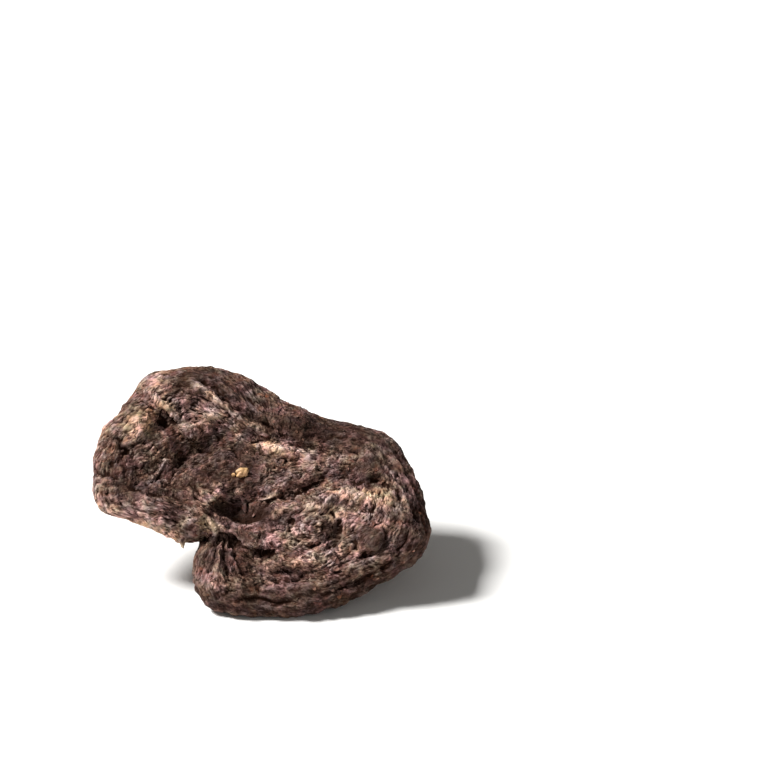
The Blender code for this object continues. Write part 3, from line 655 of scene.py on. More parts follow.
def fineRelief(points, normals, zone):
    seed = relief["seed"] + 100
    upper = 1 - fade(zone["roll"], *relief["upperFade"])
    least, more = relief["calm"]
    calm = least + more * (1 - fade(zone["roll"], *relief["calmFade"]))
    smooth = np.clip(marked(points[:, 0], points[:, 1], smoothSpots), 0, 1)
    calm = calm * (1 - relief["smoothing"] * smooth * upper)
    height = np.zeros(len(points))
    loose = warped(points, *relief["loose"], seed + 50)
    spacing, depth, gap = relief["fineScales"]
    slow, middle, contrast = relief["scalePatches"]
    patch = ease(middle + contrast * gradientNoise(points / slow, seed + 60))
    least, more = relief["scaleShare"]
    height += depth * (least + more * patch) * upper * calm * scaleRelief(points, loose, spacing, gap, seed)
    bent = warped(points, *relief["bent"], seed + 70)
    along = flowAt(points, normals, zone)
    most = relief["swellMost"]
    for number, (spacing, depth) in enumerate(relief["swells"]):
        height += depth * calm * np.clip(drawnOut(bent, along, spacing, seed + 10 + number), -most, most)
    crack, sunk = thinLines(bent, along, relief["cracks"], seed + 20)
    stroke, raised = thinLines(bent, along, relief["strokes"], seed + 30)
    height += calm * (raised - sunk)
    spacing, depth = relief["pits"]
    height -= depth * calm * fade(gradientNoise(bent / spacing, seed + 80), *relief["pitFade"])
    height += (lineRelief(points) + pleatRelief(points)) * upper
    # ridges along the stalk
    start, footShare = relief["ridgeFade"]
    onStalk = ease(zone["stalk"] / start) * (1 - footShare * zone["foot"])
    girth, length, drawn = relief["ridgeRound"]
    for number, (spacing, depth) in enumerate(relief["stalkRidges"]):
        around = np.stack([
            np.cos(zone["angle"]) * girth / spacing, np.sin(zone["angle"]) * girth / spacing,
            zone["stalk"] * length / spacing / drawn,
        ], axis=1)
        around = around + relief["ridgeBend"] * bent / spacing
        height += depth * (1 - 2 * np.abs(gradientNoise(around, seed + 30 + number))) * onStalk
    return height, crack, stroke, along


def gridCube(name, cuts):
    mesh = bpy.data.meshes.new(name)
    bm = bmesh.new()
    bmesh.ops.create_cube(bm, size=2.0)
    bmesh.ops.subdivide_edges(bm, edges=bm.edges[:], cuts=cuts - 1, use_grid_fill=True)
    bm.to_mesh(mesh)
    bm.free()
    return mesh


def readFrom(items, field, width=3, kind=float):
    values = np.empty(len(items) * width, dtype=kind)
    items.foreach_get(field, values)
    return values.reshape(-1, width)


def writePoints(mesh, points):
    mesh.vertices.foreach_set("co", np.ascontiguousarray(points).ravel())
    mesh.update()


def settled(points, ends, rounds, share=0.5):
    # each point drawn towards the mean of its neighbours, again and again
    a = np.concatenate([ends[:, 0], ends[:, 1]])
    b = np.concatenate([ends[:, 1], ends[:, 0]])
    count = np.bincount(a, minlength=len(points))
    points = points.copy()
    for _ in range(rounds):
        mean = [np.bincount(a, weights=points[b, k], minlength=len(points)) / count for k in range(3)]
        points += share * (np.stack(mean, axis=1) - points)
    return points


def addAttribute(mesh, name, values):
    layer = mesh.attributes.new(name, "FLOAT", "POINT")
    layer.data.foreach_set("value", np.ascontiguousarray(values, dtype=np.float32))


def linked(name, data):
    piece = bpy.data.objects.new(name, data)
    bpy.context.scene.collection.objects.link(piece)
    return piece


def smoothPiece(name, mesh):
    mesh.polygons.foreach_set("use_smooth", np.ones(len(mesh.polygons), dtype=bool))
    print(name + ":", len(mesh.polygons), "faces")
    return linked(name, mesh)


skinLook = {
    "cuts": 128,
    "settleCoarse": (2, 0.35),  # rounds and share
    "settleFine": (1, 0.2),
    "hollowRounds": (6, 70),  # how far the close and the wide hollows are looked at
    "hollowShares": (0.55, 0.66),
    "hollowGain": 0.22,
    "upperFade": (0.45, 0.25),
    "belowFade": (0.55, 0.25),
    "stalkFades": (0.3, 0.35),
    "footFade": 0.2,
    # how much of the painted shade along sunk lines and of the painted highlight along raised lines goes into
    # the colour
    "lineShares": (0.75, 0.9),  # of the sunk lines in the cracks, of the raised ones in the strokes
    # tan, pale, black and dark places, partly the skin's own colour and partly painted light and shade:
    # centre u and v, half-lengths, turn, strength
    # tan places: partly the skin's own tan edges and patches, partly painted light where folds leave them in
    # shade
    "warm": [
        (-37.8, 19.2, 5.8, 3, 34, 1.3), (-29.6, 25.2, 4.4, 0.9, -42, 1.2), (-31.6, 31, 1.4, 3, -15, 1),
        (-30.4, 28, 2.6, 2, 35, 0.7), (-37, -9, 5, 1, -18, 1), (-28.4, -12.4, 4.6, 1.4, -24, 1.5),
        (-18.2, 29.8, 3.4, 0.9, -14, 1.1), (-22, 18.4, 2, 1, 10, 0.6), (1.8, -2.2, 3.2, 0.7, 30, 0.8),
        (36, -10.4, 2.6, 1.6, -30, 0.8), (23.4, -6.8, 3.8, 1.8, 0, 1), (5.6, 11.9, 7.4, 1.5, -9, 2.4),
        (26.8, -1, 5.6, 1.5, -8, 2.6), (36, -2.4, 5, 2.2, 0, 0.6), (28.5, 10, 3, 1.6, 25, 0.6),
        (-16.4, -10.6, 2.6, 1.3, -30, 2.2), (-25, -12.8, 2.6, 0.8, -28, 0.5),
    ],
    # pale places: partly the skin's own pale and cream patches, partly painted light on mounds and banks that
    # lie in shade
    "paleAndLit": [
        (-12.5, 25.4, 8, 1, -43, 1.3), (-3.6, 19.2, 5, 1.1, -30, 1.1), (-17.5, 21.4, 5.6, 1.2, 20, 0.9),
        (-19, 24, 7, 2.4, 6, 0.5), (12, 9.6, 8, 2.2, -12, 1), (-30, 11, 3.4, 2.6, 0, 1.5),
        (-31.4, 33.8, 3.2, 1.8, 10, 0.9), (-5.4, 17.2, 4.4, 2, -25, 1.4), (-20, 17.6, 4, 1.6, 15, 0.6),
        (12, 4, 7, 2.6, 20, 0.3), (8, -8.4, 3.6, 6, 20, 0.8), (14, -11.6, 2.8, 3, 0, 0.4),
        (15, -4.4, 6, 1.8, 28, 0.6), (19.4, -8, 3, 1.8, 0, 0.8), (3, -19.4, 4, 2.4, 0, 0.5),
        (21, -6.6, 4.8, 2, -10, 1.6), (-31, 23.6, 4, 1.6, -40, 0.5), (-24.4, 22.2, 3.6, 2.2, 10, 0.8),
        (-11.6, 23.2, 4, 1.8, -42, 1.3), (-12.8, -0.4, 3.4, 2.2, 0, 1.5), (-6.4, -1.8, 2.6, 2, 0, 1),
        (-11.2, -9, 3, 1.2, 0, 1), (-30, -7.4, 3.6, 1.8, -15, 0.8), (-43, -5.6, 4, 2, -25, 0.9),
        (24.6, -19, 4, 1.6, 20, 0.7), (28, -8.6, 5, 2.4, 20, 0.9), (6.6, -14.2, 6, 2.4, -14, 1.3),
        (16.6, -19.6, 5.4, 2.2, 10, 1.5), (34.6, -19.4, 3.6, 1.8, 40, 0.8), (1.2, 4.6, 2.8, 2.2, 0, 0.9),
        (-12.2, 21.2, 4.2, 1.6, -42, 1.4), (15, -13, 5, 3, 0, 0.5), (-18, -12.6, 2, 1.4, 0, 0.8),
        (-6, -1.6, 2.6, 1.8, 0, 0.6), (19, -18.4, 5, 1.6, 12, 0.4), (23, -5.6, 5, 1.6, 0, 0.8),
        (20, 11.2, 6, 1.8, -18, 0.7), (28.6, -19.4, 1, 3, -28, 1), (12.6, -24.2, 3, 1.2, 0, 0.7),
        (34, -3.4, 7, 2.4, 0, 0.5), (35.6, 10.4, 3.4, 1.8, -30, 0.9), (-19.4, -24, 0.9, 6, 0, 0.5),
        (-17.6, -7.2, 4.8, 1.8, -14, 1.2), (-29, -10.6, 6, 1.6, -20, 1), (-35, -5, 4, 2.6, -10, 0.8),
        (-13.4, -12, 0.9, 2.4, -12, 1.1), (-12.6, -25, 3.2, 4.4, 0, 1.3), (26, 1.8, 4, 1.4, 10, 0.6),
    ],
    # black places: painted shade in pits and hollows, under the top ridge and on the lump's shaded side,
    # darkened with the cracks
    "blackShade": [
        (-4.6, -8.2, 4.6, 1.5, 8, 1), (-11, -4.8, 3.2, 1.6, -32, 0.9), (0, -7.6, 3, 2, 16, 1),
        (13, 17.2, 12, 2.6, -16, 0.85), (-6, 2.2, 3.2, 0.9, 0, 0.4), (-24.8, 8.8, 1.7, 2.4, 10, 0.7),
        (0.6, -18.4, 2.8, 1, 0, 0.6), (-9.2, -14.8, 2.8, 1.4, -24, 0.7), (-40.2, 8, 3.4, 0.8, 4, 0.6),
        (22.6, -12.8, 1.8, 4, 14, 0.8), (17.6, -17.8, 4.2, 0.8, -8, 0.3), (8.2, -23.6, 3.4, 0.8, -4, 0.4),
        (-19.6, -13.2, 2.8, 1.3, 8, 0.7), (-11.2, -1.6, 2.6, 0.5, 44, 0.5), (7.6, 9.6, 1.2, 0.4, 20, 0.7),
        (-22.4, 30.8, 1.5, 1.2, 0, 0.5), (10.2, -9.3, 0.6, 0.6, 0, 0.7), (14.6, -9.4, 0.8, 0.6, 0, 0.7),
    ],
    # dark places: partly dark-grey skin, partly painted shade and painted shadow along the top edge, the
    # bottom and right margins and the shaded sides of lumps
    "darkAndShaded": [
        (17, -11.2, 5, 4.6, 0, 0.15), (19.8, -12.6, 2.2, 4.6, 16, 0.3), (1, -1.2, 3, 1.6, 20, 0.5),
        (-24, 12.6, 8, 5, 20, 0.2), (-31, 20.4, 3.2, 3, 0, 0.2), (-37.5, 10, 5.4, 3.8, 30, 0.55),
        (-42, 24, 3.4, 3, 40, 0.7), (-43, 16, 3.6, 3, 30, 0.6), (-45, -4, 5, 1.6, -30, 0.2),
        (-12, -31, 4.4, 3, -20, 0.8), (-42, 4, 5.4, 4.4, 0, 1.3), (-41.6, -1.6, 5, 2.4, -10, 0.4),
        (-36.4, -0.8, 5, 3, 0, 0.8), (-8, -7.4, 6.4, 2, -6, 1.2), (-9.6, 11, 8.4, 3.8, -4, 1.6),
        (-6.6, 4.4, 8, 3.4, 0, 1.5), (-17, 4, 5, 3, 10, 0.7), (-25, -4.4, 5.4, 4, -20, 1.1),
        (-24, 0.6, 5, 2.4, 0, 0.8), (0.4, -7, 3.8, 3, 0, 1.4), (9, -7.6, 4, 2.4, 10, 0.8),
        (24, -3.6, 5, 1.8, 0, 0.4), (-6, -13.6, 3.6, 2.4, 0, 1.5), (-24, -12, 3, 1.8, -20, 0.5),
        (-17, -19.6, 4.4, 4.6, -20, 1.5), (-18.8, -26, 2.2, 5.4, 0, 1), (-8, -19.6, 5, 3.4, 0, 1.4),
        (2.2, -18.9, 4.6, 1.9, 0, 0.9), (8, -24, 4.6, 1.7, -8, 0.6), (21.6, -13, 2.2, 3.4, 12, 0.5),
        (33.4, -14.6, 3.8, 2.6, -35, 1.7), (43, -13, 3, 5.4, 20, 0.6), (31.4, 5.6, 6.4, 3.2, 24, 1.7),
        (14, 17.6, 18, 3.8, -14, 1.8), (31, 16.8, 8, 2.8, -30, 0.9), (43, 11, 3.4, 5, -20, 0.7),
        (14, 4, 8, 2.6, 24, 0.4), (26, 5, 6, 3, 30, 0.6), (35, -8, 5, 2.4, 0, 0.7),
        (14, -35.5, 36, 5, 6, 1.1), (4, -31.6, 26, 3.6, 4, 1.2), (48.4, -10, 3.8, 14, 0, 1.1),
        (25, -26.4, 6, 2.8, 25, 0.9), (38, -27, 12, 5, 38, 1.5), (-21, 34, 8, 3, 4, 1),
        (-24, 29.5, 3.2, 2.8, 0, 1.2), (-10.6, 29, 7, 2, -42, 1), (-13, 15.6, 8, 1.6, -10, 0.2),
        (-3.4, -25, 4.2, 2.8, 0, 0.7), (34, -20.6, 6, 2.4, 40, 0.1), (28.6, -12.8, 2, 2.6, 0, 0.6),
    ],
}


def addSkin():
    look = skinLook
    mesh = gridCube("skin", look["cuts"])
    zone = zones(unit(np.tan(readFrom(mesh.vertices, "co") * math.pi / 4)))
    ends = readFrom(mesh.edges, "vertices", 2, np.int64)
    base = skinForm(zone)
    writePoints(mesh, base)
    points = base + readFrom(mesh.vertices, "normal") * coarseRelief(base, zone)[:, None]
    points = settled(points, ends, *look["settleCoarse"])
    writePoints(mesh, points)
    normals = readFrom(mesh.vertices, "normal")
    height, crack, stroke, along = fineRelief(points, normals, zone)
    points = points + normals * height[:, None]
    points = settled(points, ends, *look["settleFine"])
    writePoints(mesh, points)
    normals = readFrom(mesh.vertices, "normal")

    # hollows and ridges, close and wide, as amounts that the material reads to paint shade into hollows and a
    # highlight onto ridges
    face = zone["stalk"] <= 0
    hollow = 0
    for rounds, share in zip(look["hollowRounds"], look["hollowShares"]):
        sunkBy = ((settled(points, ends, rounds) - points) * normals).sum(axis=1)
        hollow = hollow + share * sunkBy / sunkBy[face].std()
    upper = 1 - fade(zone["roll"], *look["upperFade"])
    raised, sunk = lineTones(base)
    warm, paleAndLit, blackShade, darkAndShaded = (
        marked(base[:, 0], base[:, 1], look[kind]) for kind in ("warm", "paleAndLit", "blackShade", "darkAndShaded")
    )
    crackShare, strokeShare = look["lineShares"]
    underStalk, stalkFade = look["stalkFades"]
    amounts = {
        "hollow": np.clip(0.5 + look["hollowGain"] * hollow, 0, 1),
        # crack: painted shade in thin cracks, sunk lines and black places; stroke and pale: painted highlight
        # on strokes and raised lines
        "crack": np.maximum(crack, np.maximum(crackShare * sunk, np.clip(blackShade, 0, 1)) * upper),
        "stroke": np.maximum(stroke, strokeShare * raised * upper),
        "warm": np.clip(warm, 0, 1) * upper,
        "paleAndLit": np.clip(paleAndLit + strokeShare * raised, 0, 1) * upper,
        "darkAndShaded": np.clip(darkAndShaded, 0, 1) * upper,
        "below": fade(zone["roll"], *look["belowFade"]) * (1 - ease(zone["stalk"] / underStalk)),
        "stalk": ease(zone["stalk"] / stalkFade),
        "foot": ease(zone["foot"] / look["footFade"]),
    }
    amounts.update(zip(combed["names"], flowShares(along)))
    for name, values in amounts.items():
        addAttribute(mesh, name, values)
    writePoints(mesh, placed(points))
    return smoothPiece("skin", mesh), points, normals, zone


# spines under the cap, close together, each a little bent

spineLook = {
    "seed": 21,
    "count": 2800,
    "spacing": 1.05,
    "from": (0.74, 0.2),  # where on the rolled edge they start, and over how much they grow
    "to": 0.30,  # how far down the stalk's mouth they go
    "growth": (0.35, 0.65),
    "shorter": 0.45,
    "heading": (0.35, 0.9),  # out of the skin, and downwards
    "length": (2.2, 4.6),
    "width": 0.95,
    "widths": (0.75, 0.5, 7),  # least, more, and how many kinds
    "taper": 1.6,
    "root": 0.7,
    "sides": 5,
    "rings": 4,
    "sway": 0.16,
    "bend": 0.5,
    "clearance": 0.4,
    "name": "driedSpine",
    "base": (0.100, 0.056, 0.040),
    "cool": (0.080, 0.054, 0.044),
    "warm": (0.160, 0.060, 0.034),
    "end": (0.30, 0.180, 0.115),
    "paler": (0.15, 1.0, 0.0, 0.85),
    "speck": 0.5,
    "drift": 0.7,
    "roughness": 0.8,
    "specular": 0.5,
    "bump": (0.4, 0.00015),
}


def spreadOut(places, spacing, most):
    # keeps places in order, each at least a spacing from the ones kept, on a hash of cells
    kept, cells = [], {}
    for number, place in enumerate(places):
        cell = tuple(np.floor(place / spacing).astype(int))
        near = [k for step in product((-1, 0, 1), repeat=3)
                for k in cells.get((cell[0] + step[0], cell[1] + step[1], cell[2] + step[2]), ())]
        if all(np.linalg.norm(places[k] - place) >= spacing for k in near):
            kept.append(number)
            cells.setdefault(cell, []).append(number)
            if len(kept) >= most:
                break
    return np.array(kept, dtype=int)


def addSpines(points, normals, zone):
    look = spineLook
    draw = np.random.default_rng(look["seed"])
    start, over = look["from"]
    ready = (zone["roll"] > start) & (zone["stalk"] < look["to"])
    chosen = draw.permutation(np.flatnonzero(ready))
    # grid points crowd where the skin is narrow, so spacing alone decides who stays
    chosen = chosen[spreadOut(points[chosen], look["spacing"], look["count"])]
    root, normal = points[chosen], normals[chosen]
    down = unit(np.array([[0.0, -form["fall"], -1.0]]))
    outShare, downShare = look["heading"]
    heading = unit(outShare * normal + downShare * down + draw.normal(0, look["sway"], (len(chosen), 3)))
    length = draw.uniform(*look["length"], len(chosen))
    least, more = look["growth"]
    length *= least + more * fade(zone["roll"][chosen], start, over)
    length *= 1 - look["shorter"] * ease(zone["stalk"][chosen] / look["to"])
    side = unit(np.cross(heading, draw.normal(size=(len(chosen), 3))))
    other = np.cross(heading, side)
    lean = side * look["bend"] * draw.uniform(-1, 1, (len(chosen), 1))

    verts, faces, shades = [], [], []
    sides, rings = look["sides"], look["rings"]
    least, more, kinds = look["widths"]
    for k in range(len(chosen)):
        tip = root[k] + heading[k] * length[k] + lean[k]
        if placed(tip[None])[0][2] < look["clearance"] * mm:
            continue
        start = len(verts)
        width = look["width"] * (least + more * (k % kinds) / (kinds - 1)) / 2
        for ring in range(rings):
            t = ring / rings
            middle = root[k] + heading[k] * (length[k] * t - look["root"] * (1 - t)) + lean[k] * t * t
            girth = width * (1 - t ** look["taper"])
            for n in range(sides):
                a = 2 * math.pi * n / sides
                verts.append(middle + girth * (math.cos(a) * side[k] + math.sin(a) * other[k]))
                shades.append(t)
        verts.append(tip)
        shades.append(1.0)
        for ring in range(rings - 1):
            for n in range(sides):
                m = (n + 1) % sides
                a = start + ring * sides
                faces.append((a + n, a + m, a + sides + m, a + sides + n))
        last = start + (rings - 1) * sides
        faces.extend((last + n, last + (n + 1) % sides, start + rings * sides) for n in range(sides))
        faces.append(tuple(start + n for n in reversed(range(sides))))
    return meshPiece("spines", verts, faces, shades)


def meshPiece(name, verts, faces, shades):
    # a piece from points in face coordinates, with one amount from root to tip
    mesh = bpy.data.meshes.new(name)
    mesh.from_pydata(placed(np.array(verts)).tolist(), [], faces)
    bm = bmesh.new()
    bm.from_mesh(mesh)
    bmesh.ops.recalc_face_normals(bm, faces=bm.faces[:])
    bm.to_mesh(mesh)
    bm.free()
    addAttribute(mesh, "tip", np.array(shades))
    return smoothPiece(name, mesh)


def leafFaces(start, rows, columns):
    # the faces of two like grids of points, back to back, closed round the rim
    stride = columns + 1
    layer = (rows + 1) * stride
    faces = []
    for i, j in product(range(rows), range(columns)):
        a = start + i * stride + j
        faces.append((a, a + 1, a + stride + 1, a + stride))
        a += layer
        faces.append((a, a + stride, a + stride + 1, a + 1))
    rim = [(i, 0) for i in range(rows)] + [(rows, j) for j in range(columns)]
    rim += [(i, columns) for i in range(rows, 0, -1)] + [(0, j) for j in range(columns, 0, -1)]
    for (i0, j0), (i1, j1) in zip(rim, rim[1:] + rim[:1]):
        a, b = start + i0 * stride + j0, start + i1 * stride + j1
        faces.append((a, b, b + layer, a + layer))
    return faces


# loose scale tips on the cap: thin leaves with their roots sunk and their outer ends lifted

tipLook = {
    "seed": 33,
    "count": 360,
    "spacing": 2.4,
    "to": 0.3,  # how far round the edge they go
    "aim": 0.45,  # how far they turn aside from pointing outwards
    "sizes": 1.8,  # a higher power gives fewer large ones
    "length": (1.2, 3.0),
    "width": (0.9, 1.9),
    "widthDraw": (0.7, 1.1),
    "leaf": (1.25, 0.35, 0.9, 0.02),
    "thick": 0.26,
    "thinEdge": (0.25, 0.75),
    "sunk": 0.25,
    "lift": (0.0, 0.10),
    "curl": 0.3,
    "curlDraw": (0.3, 1.4),
    "curlSide": 0.35,
    "skew": 0.35,
    "along": 6,
    "across": 4,
    "name": "driedScale",
    "base": (0.120, 0.060, 0.048),
    "cool": (0.078, 0.050, 0.046),
    "warm": (0.160, 0.060, 0.034),
    "end": (0.44, 0.26, 0.21),
    "paler": (0.55, 1.0, 0.0, 1.0),
    "patches": ((160.0,), (0.42, 0.66, 0.1, 0.75)),
    "speck": 0.8,
    "drift": 1.0,
    "roughness": 0.78,
    "specular": 0.08,
    "bump": (0.7, 0.00025),
}


def addScaleTips(points, normals, zone):
    look = tipLook
    draw = np.random.default_rng(look["seed"])
    chosen = draw.permutation(np.flatnonzero(zone["roll"] < look["to"]))
    chosen = chosen[spreadOut(points[chosen], look["spacing"], look["count"])]
    root, normal = points[chosen], normals[chosen]
    outward = outwardOf(root) + draw.normal(0, look["aim"], (len(chosen), 3))
    outward = unit(outward - normal * (outward * normal).sum(axis=1)[:, None])
    across = np.cross(normal, outward)
    size = draw.random(len(chosen)) ** look["sizes"]
    verts, faces, shades = [], [], []
    rows, columns = look["along"], look["across"]
    slope, offset, spread, least = look["leaf"]
    edgeLeast, edgeMore = look["thinEdge"]
    for k in range(len(chosen)):
        low, high = look["length"]
        length = low + (high - low) * size[k]
        low, high = look["width"]
        width = low + (high - low) * size[k] * draw.uniform(*look["widthDraw"])
        lift = draw.uniform(*look["lift"])
        curl = look["curl"] * draw.uniform(*look["curlDraw"])
        skew = draw.uniform(-look["skew"], look["skew"])
        faces += leafFaces(len(verts), rows, columns)
        for side, i, j in product((0, -1), range(rows + 1), range(columns + 1)):
            t, s = i / rows, 2 * j / columns - 1
            wide = width * 0.5 * math.sqrt(max(least, 1 - (slope * t - offset) ** 2 / spread))
            high = lift * length * t * t - look["sunk"] + look["curlSide"] * curl * (s * s) * t
            edge = 1 - max(abs(s), 2 * t - 1 if t > 0.5 else 0) ** 4
            thick = look["thick"] * (edgeLeast + edgeMore * edge) * side
            verts.append(
                root[k] + outward[k] * (length * (t - look["sunk"]))
                + across[k] * (wide * s + skew * t * length * 0.5) + normal[k] * (high + thick)
            )
            shades.append(t)
    return meshPiece("scaleTips", verts, faces, shades)


# the torn flap of skin that hangs at the notch: where it leaves the margin, and its ragged free edge

flapLook = {
    "root": [(-31.0, -10.6), (-28.6, -11.4), (-26.4, -12.0), (-25.0, -12.6), (-23.8, -13.0), (-22.6, -13.2)],
    "free": [(-31.4, -12.2), (-28.6, -13.2), (-25.9, -14.0), (-24.7, -15.2), (-23.2, -17.4), (-22.4, -14.8)],
    "thick": 0.35,
    "thinner": 0.75,
    "rows": 8,
    "columns": 40,
    "ragged": 0.5,
    "jags": 13.0,
    "onTop": 0.5,
    "even": 7,  # columns over which its height is evened out
    "rise": (-1.2, 1.0, 1.1),  # from inside the flesh out to its skin
    "drop": 1.2,
    "name": "tornSkin",
    "base": (0.120, 0.060, 0.044),
    "cool": (0.080, 0.050, 0.044),
    "warm": (0.160, 0.060, 0.034),
    "end": (0.66, 0.47, 0.35),
    "paler": (0.45, 0.95),
    "speck": 0.7,
    "drift": 0.8,
    "roughness": 0.7,
    "specular": 0.12,
    "bump": (0.8, 0.00035),
}


def addFlap(points, zone):
    look = flapLook
    onTop = points[zone["roll"] < look["onTop"]]
    along = np.linspace(0, 1, look["columns"] + 1)
    knots = np.linspace(0, 1, len(look["root"]))
    root, free = (
        np.stack([np.interp(along, knots, k) for k in np.array(look[edge]).T], axis=1)
        for edge in ("root", "free")
    )
    jag = np.stack([along * look["jags"], along * 0, along * 0], axis=1)
    free += look["ragged"] * np.stack([gradientNoise(jag, 401), gradientNoise(jag * 1.7, 402)], axis=1)
    depth = np.array([onTop[np.argmin(np.hypot(*(onTop[:, :2] - place).T))][2] for place in root])
    even = look["even"]
    depth = np.convolve(np.pad(depth, even // 2, mode="edge"), np.ones(even) / even, mode="valid")
    verts, shades = [], []
    rows, columns = look["rows"], look["columns"]
    start, rise, sooner = look["rise"]
    for side, i, j in product((0, 1), range(rows + 1), range(columns + 1)):
        t = i / rows
        u, v = root[j] + (free[j] - root[j]) * t
        # starts inside the flesh, comes out at its skin and bends back as it hangs
        w = depth[j] + start + rise * math.sin(math.pi * min(t * sooner, 1.0)) - look["drop"] * t * t
        verts.append((u, v, w - look["thick"] * (1 - look["thinner"] * t) * side))
        shades.append(t)
    return meshPiece("tornFlap", verts, leafFaces(0, rows, columns), shades)


# the tan grain that lies by the deepest hollow

grainLook = {
    "lumps": [((-5.9, 5.0), (1.95, 1.45, 1.2), 20), ((-8.7, 4.5), (0.6, 0.55, 0.5), 0)],
    "sink": 0.35,
    "bumps": [(0.30, 1.7, 71), (0.09, 5.0, 72)],  # height, scale, seed
    "name": "tanGrain",
    "base": (0.58, 0.34, 0.16),
    "cool": (0.72, 0.50, 0.31),
    "warm": (0.34, 0.14, 0.05),
    "speck": 0.5,
    "drift": 0.4,
    "roughness": 0.5,
    "specular": 0.5,
    "bump": (0.35, 0.0002),
}


def addGrain(points):
    bm = bmesh.new()
    for (u, v), sizes, turn in grainLook["lumps"]:
        under = points[np.argmin(np.hypot(points[:, 0] - u, points[:, 1] - v) - 0.2 * points[:, 2])]
        made = bmesh.ops.create_icosphere(bm, subdivisions=4, radius=1.0)["verts"]
        balls = np.array([vert.co for vert in made])
        for height, scale, seed in grainLook["bumps"]:
            balls *= 1 + height * gradientNoise(balls * scale + u, seed)[:, None]
        c, s = turnOf(turn)
        x, y, z = (balls * np.array(sizes)).T
        spun = np.stack([x * c - y * s, x * s + y * c, z], axis=1)
        world = placed(spun + under + np.array([0, 0, sizes[2] * (1 - grainLook["sink"])]))
        for vert, place in zip(made, world):
            vert.co = place
    mesh = bpy.data.meshes.new("grain")
    bm.to_mesh(mesh)
    bm.free()
    return smoothPiece("grain", mesh)


# materials

def feed(tree, socket, value):
    # a link where the value is another socket, else a number, a vector or a colour
    if isinstance(value, bpy.types.NodeSocket):
        tree.links.new(value, socket)
    else:
        socket.default_value = (*value, 1.0) if socket.type == "RGBA" else value


def newGroup(name, inputs, outputs):
    # a group that is given a vector, and numbers and colours with these values to begin with
    group = bpy.data.node_groups.new(name, "ShaderNodeTree")
    group.interface.new_socket("Vector", in_out="INPUT", socket_type="NodeSocketVector")
    for label, value in inputs.items():
        kind = "NodeSocketColor" if isinstance(value, tuple) else "NodeSocketFloat"
        socket = group.interface.new_socket(label, in_out="INPUT", socket_type=kind)
        socket.default_value = (*value, 1.0) if isinstance(value, tuple) else value
    for label, kind in outputs.items():
        group.interface.new_socket(label, in_out="OUTPUT", socket_type="NodeSocket" + kind)
    return group, group.nodes.new("NodeGroupInput"), group.nodes.new("NodeGroupOutput")


def addNoise(tree, coords, scale, detail=3.0, roughness=0.55, distortion=0.0, output="Fac"):
    noise = tree.nodes.new("ShaderNodeTexNoise")
    values = {
        "Vector": coords, "Scale": scale, "Detail": detail, "Roughness": roughness, "Distortion": distortion,
    }
    for label, value in values.items():
        feed(tree, noise.inputs[label], value)
    return noise.outputs[output]


def addMath(tree, kind, *values):
    node = tree.nodes.new("ShaderNodeMath")
    node.operation = kind
    for socket, value in zip(node.inputs, values):
        feed(tree, socket, value)
    return node.outputs[0]


def times(tree, a, b):
    return addMath(tree, "MULTIPLY", a, b)


def larger(tree, a, b):
    return addMath(tree, "MAXIMUM", a, b)


def addVector(tree, kind, *values):
    node = tree.nodes.new("ShaderNodeVectorMath")
    node.operation = kind
    for socket, value in zip(node.inputs, values):
        feed(tree, socket, value)
    return node


def addRange(tree, value, low, high, toLow=0.0, toHigh=1.0):
    node = tree.nodes.new("ShaderNodeMapRange")
    node.interpolation_type = "SMOOTHSTEP"
    values = {"Value": value, "From Min": low, "From Max": high, "To Min": toLow, "To Max": toHigh}
    for label, number in values.items():
        feed(tree, node.inputs[label], number)
    return node.outputs["Result"]


def noiseRange(tree, coords, noise, reach):
    return addRange(tree, addNoise(tree, coords, *noise), *reach)


def addMix(tree, factor, a, b, kind="MIX"):
    node = tree.nodes.new("ShaderNodeMix")
    node.data_type = "RGBA"
    node.blend_type = kind
    for socket, value in ((node.inputs["Factor"], factor), (node.inputs[6], a), (node.inputs[7], b)):
        feed(tree, socket, value)
    return node.outputs[2]


mottleLook = {
    "cool": ((130.0, 4.0, 0.6), (0.42, 0.62)),  # the noise, and where it turns to the colour
    "warm": ((210.0, 4.0, 0.65, 0.6), (0.50, 0.68)),
    "speck": ((1500.0, 3.0, 0.7), (0.35, 0.70)),
    "specks": ((0.56, 0.54, 0.53), (1.38, 1.35, 1.33)),
}


def driedMottle():
    # patches of a cooler and a warmer colour over a base colour, with fine specks
    group, given, put = newGroup(
        "driedMottle",
        {"Base": (0.1, 0.06, 0.05), "Cool": (0.1, 0.08, 0.08), "Warm": (0.15, 0.06, 0.03), "Speck": 0.5},
        {"Color": "Color"},
    )
    coords = given.outputs["Vector"]
    masks = [noiseRange(group, coords, *mottleLook[kind]) for kind in ("cool", "warm", "speck")]
    color = addMix(group, masks[0], given.outputs["Base"], given.outputs["Cool"])
    color = addMix(group, masks[1], color, given.outputs["Warm"])
    specks = addMix(group, masks[2], *mottleLook["specks"])
    color = addMix(group, given.outputs["Speck"], color, specks, "MULTIPLY")
    group.links.new(color, put.inputs["Color"])
    return group


# drifts of hue: the noise, where it turns, and the two tints
hueDrifts = [
    ((250.0, 3.0, 0.6, 0.4), (0.34, 0.66), (0.895, 1.025, 1.025), (1.115, 0.975, 0.96)),
    ((190.0, 3.0, 0.6, 0.4), (0.34, 0.66), (1.0, 1.025, 0.875), (1.0, 0.975, 1.115)),
]


def hueDrift():
    # small drifts of hue, to red or to grey and to mauve or to olive
    group, given, put = newGroup("hueDrift", {"Color": (0.1, 0.06, 0.05), "Amount": 1.0}, {"Color": "Color"})
    color = given.outputs["Color"]
    for noise, reach, first, second in hueDrifts:
        drift = noiseRange(group, given.outputs["Vector"], noise, reach)
        color = addMix(group, given.outputs["Amount"], color, addMix(group, drift, first, second), "MULTIPLY")
    group.links.new(color, put.inputs["Color"])
    return group


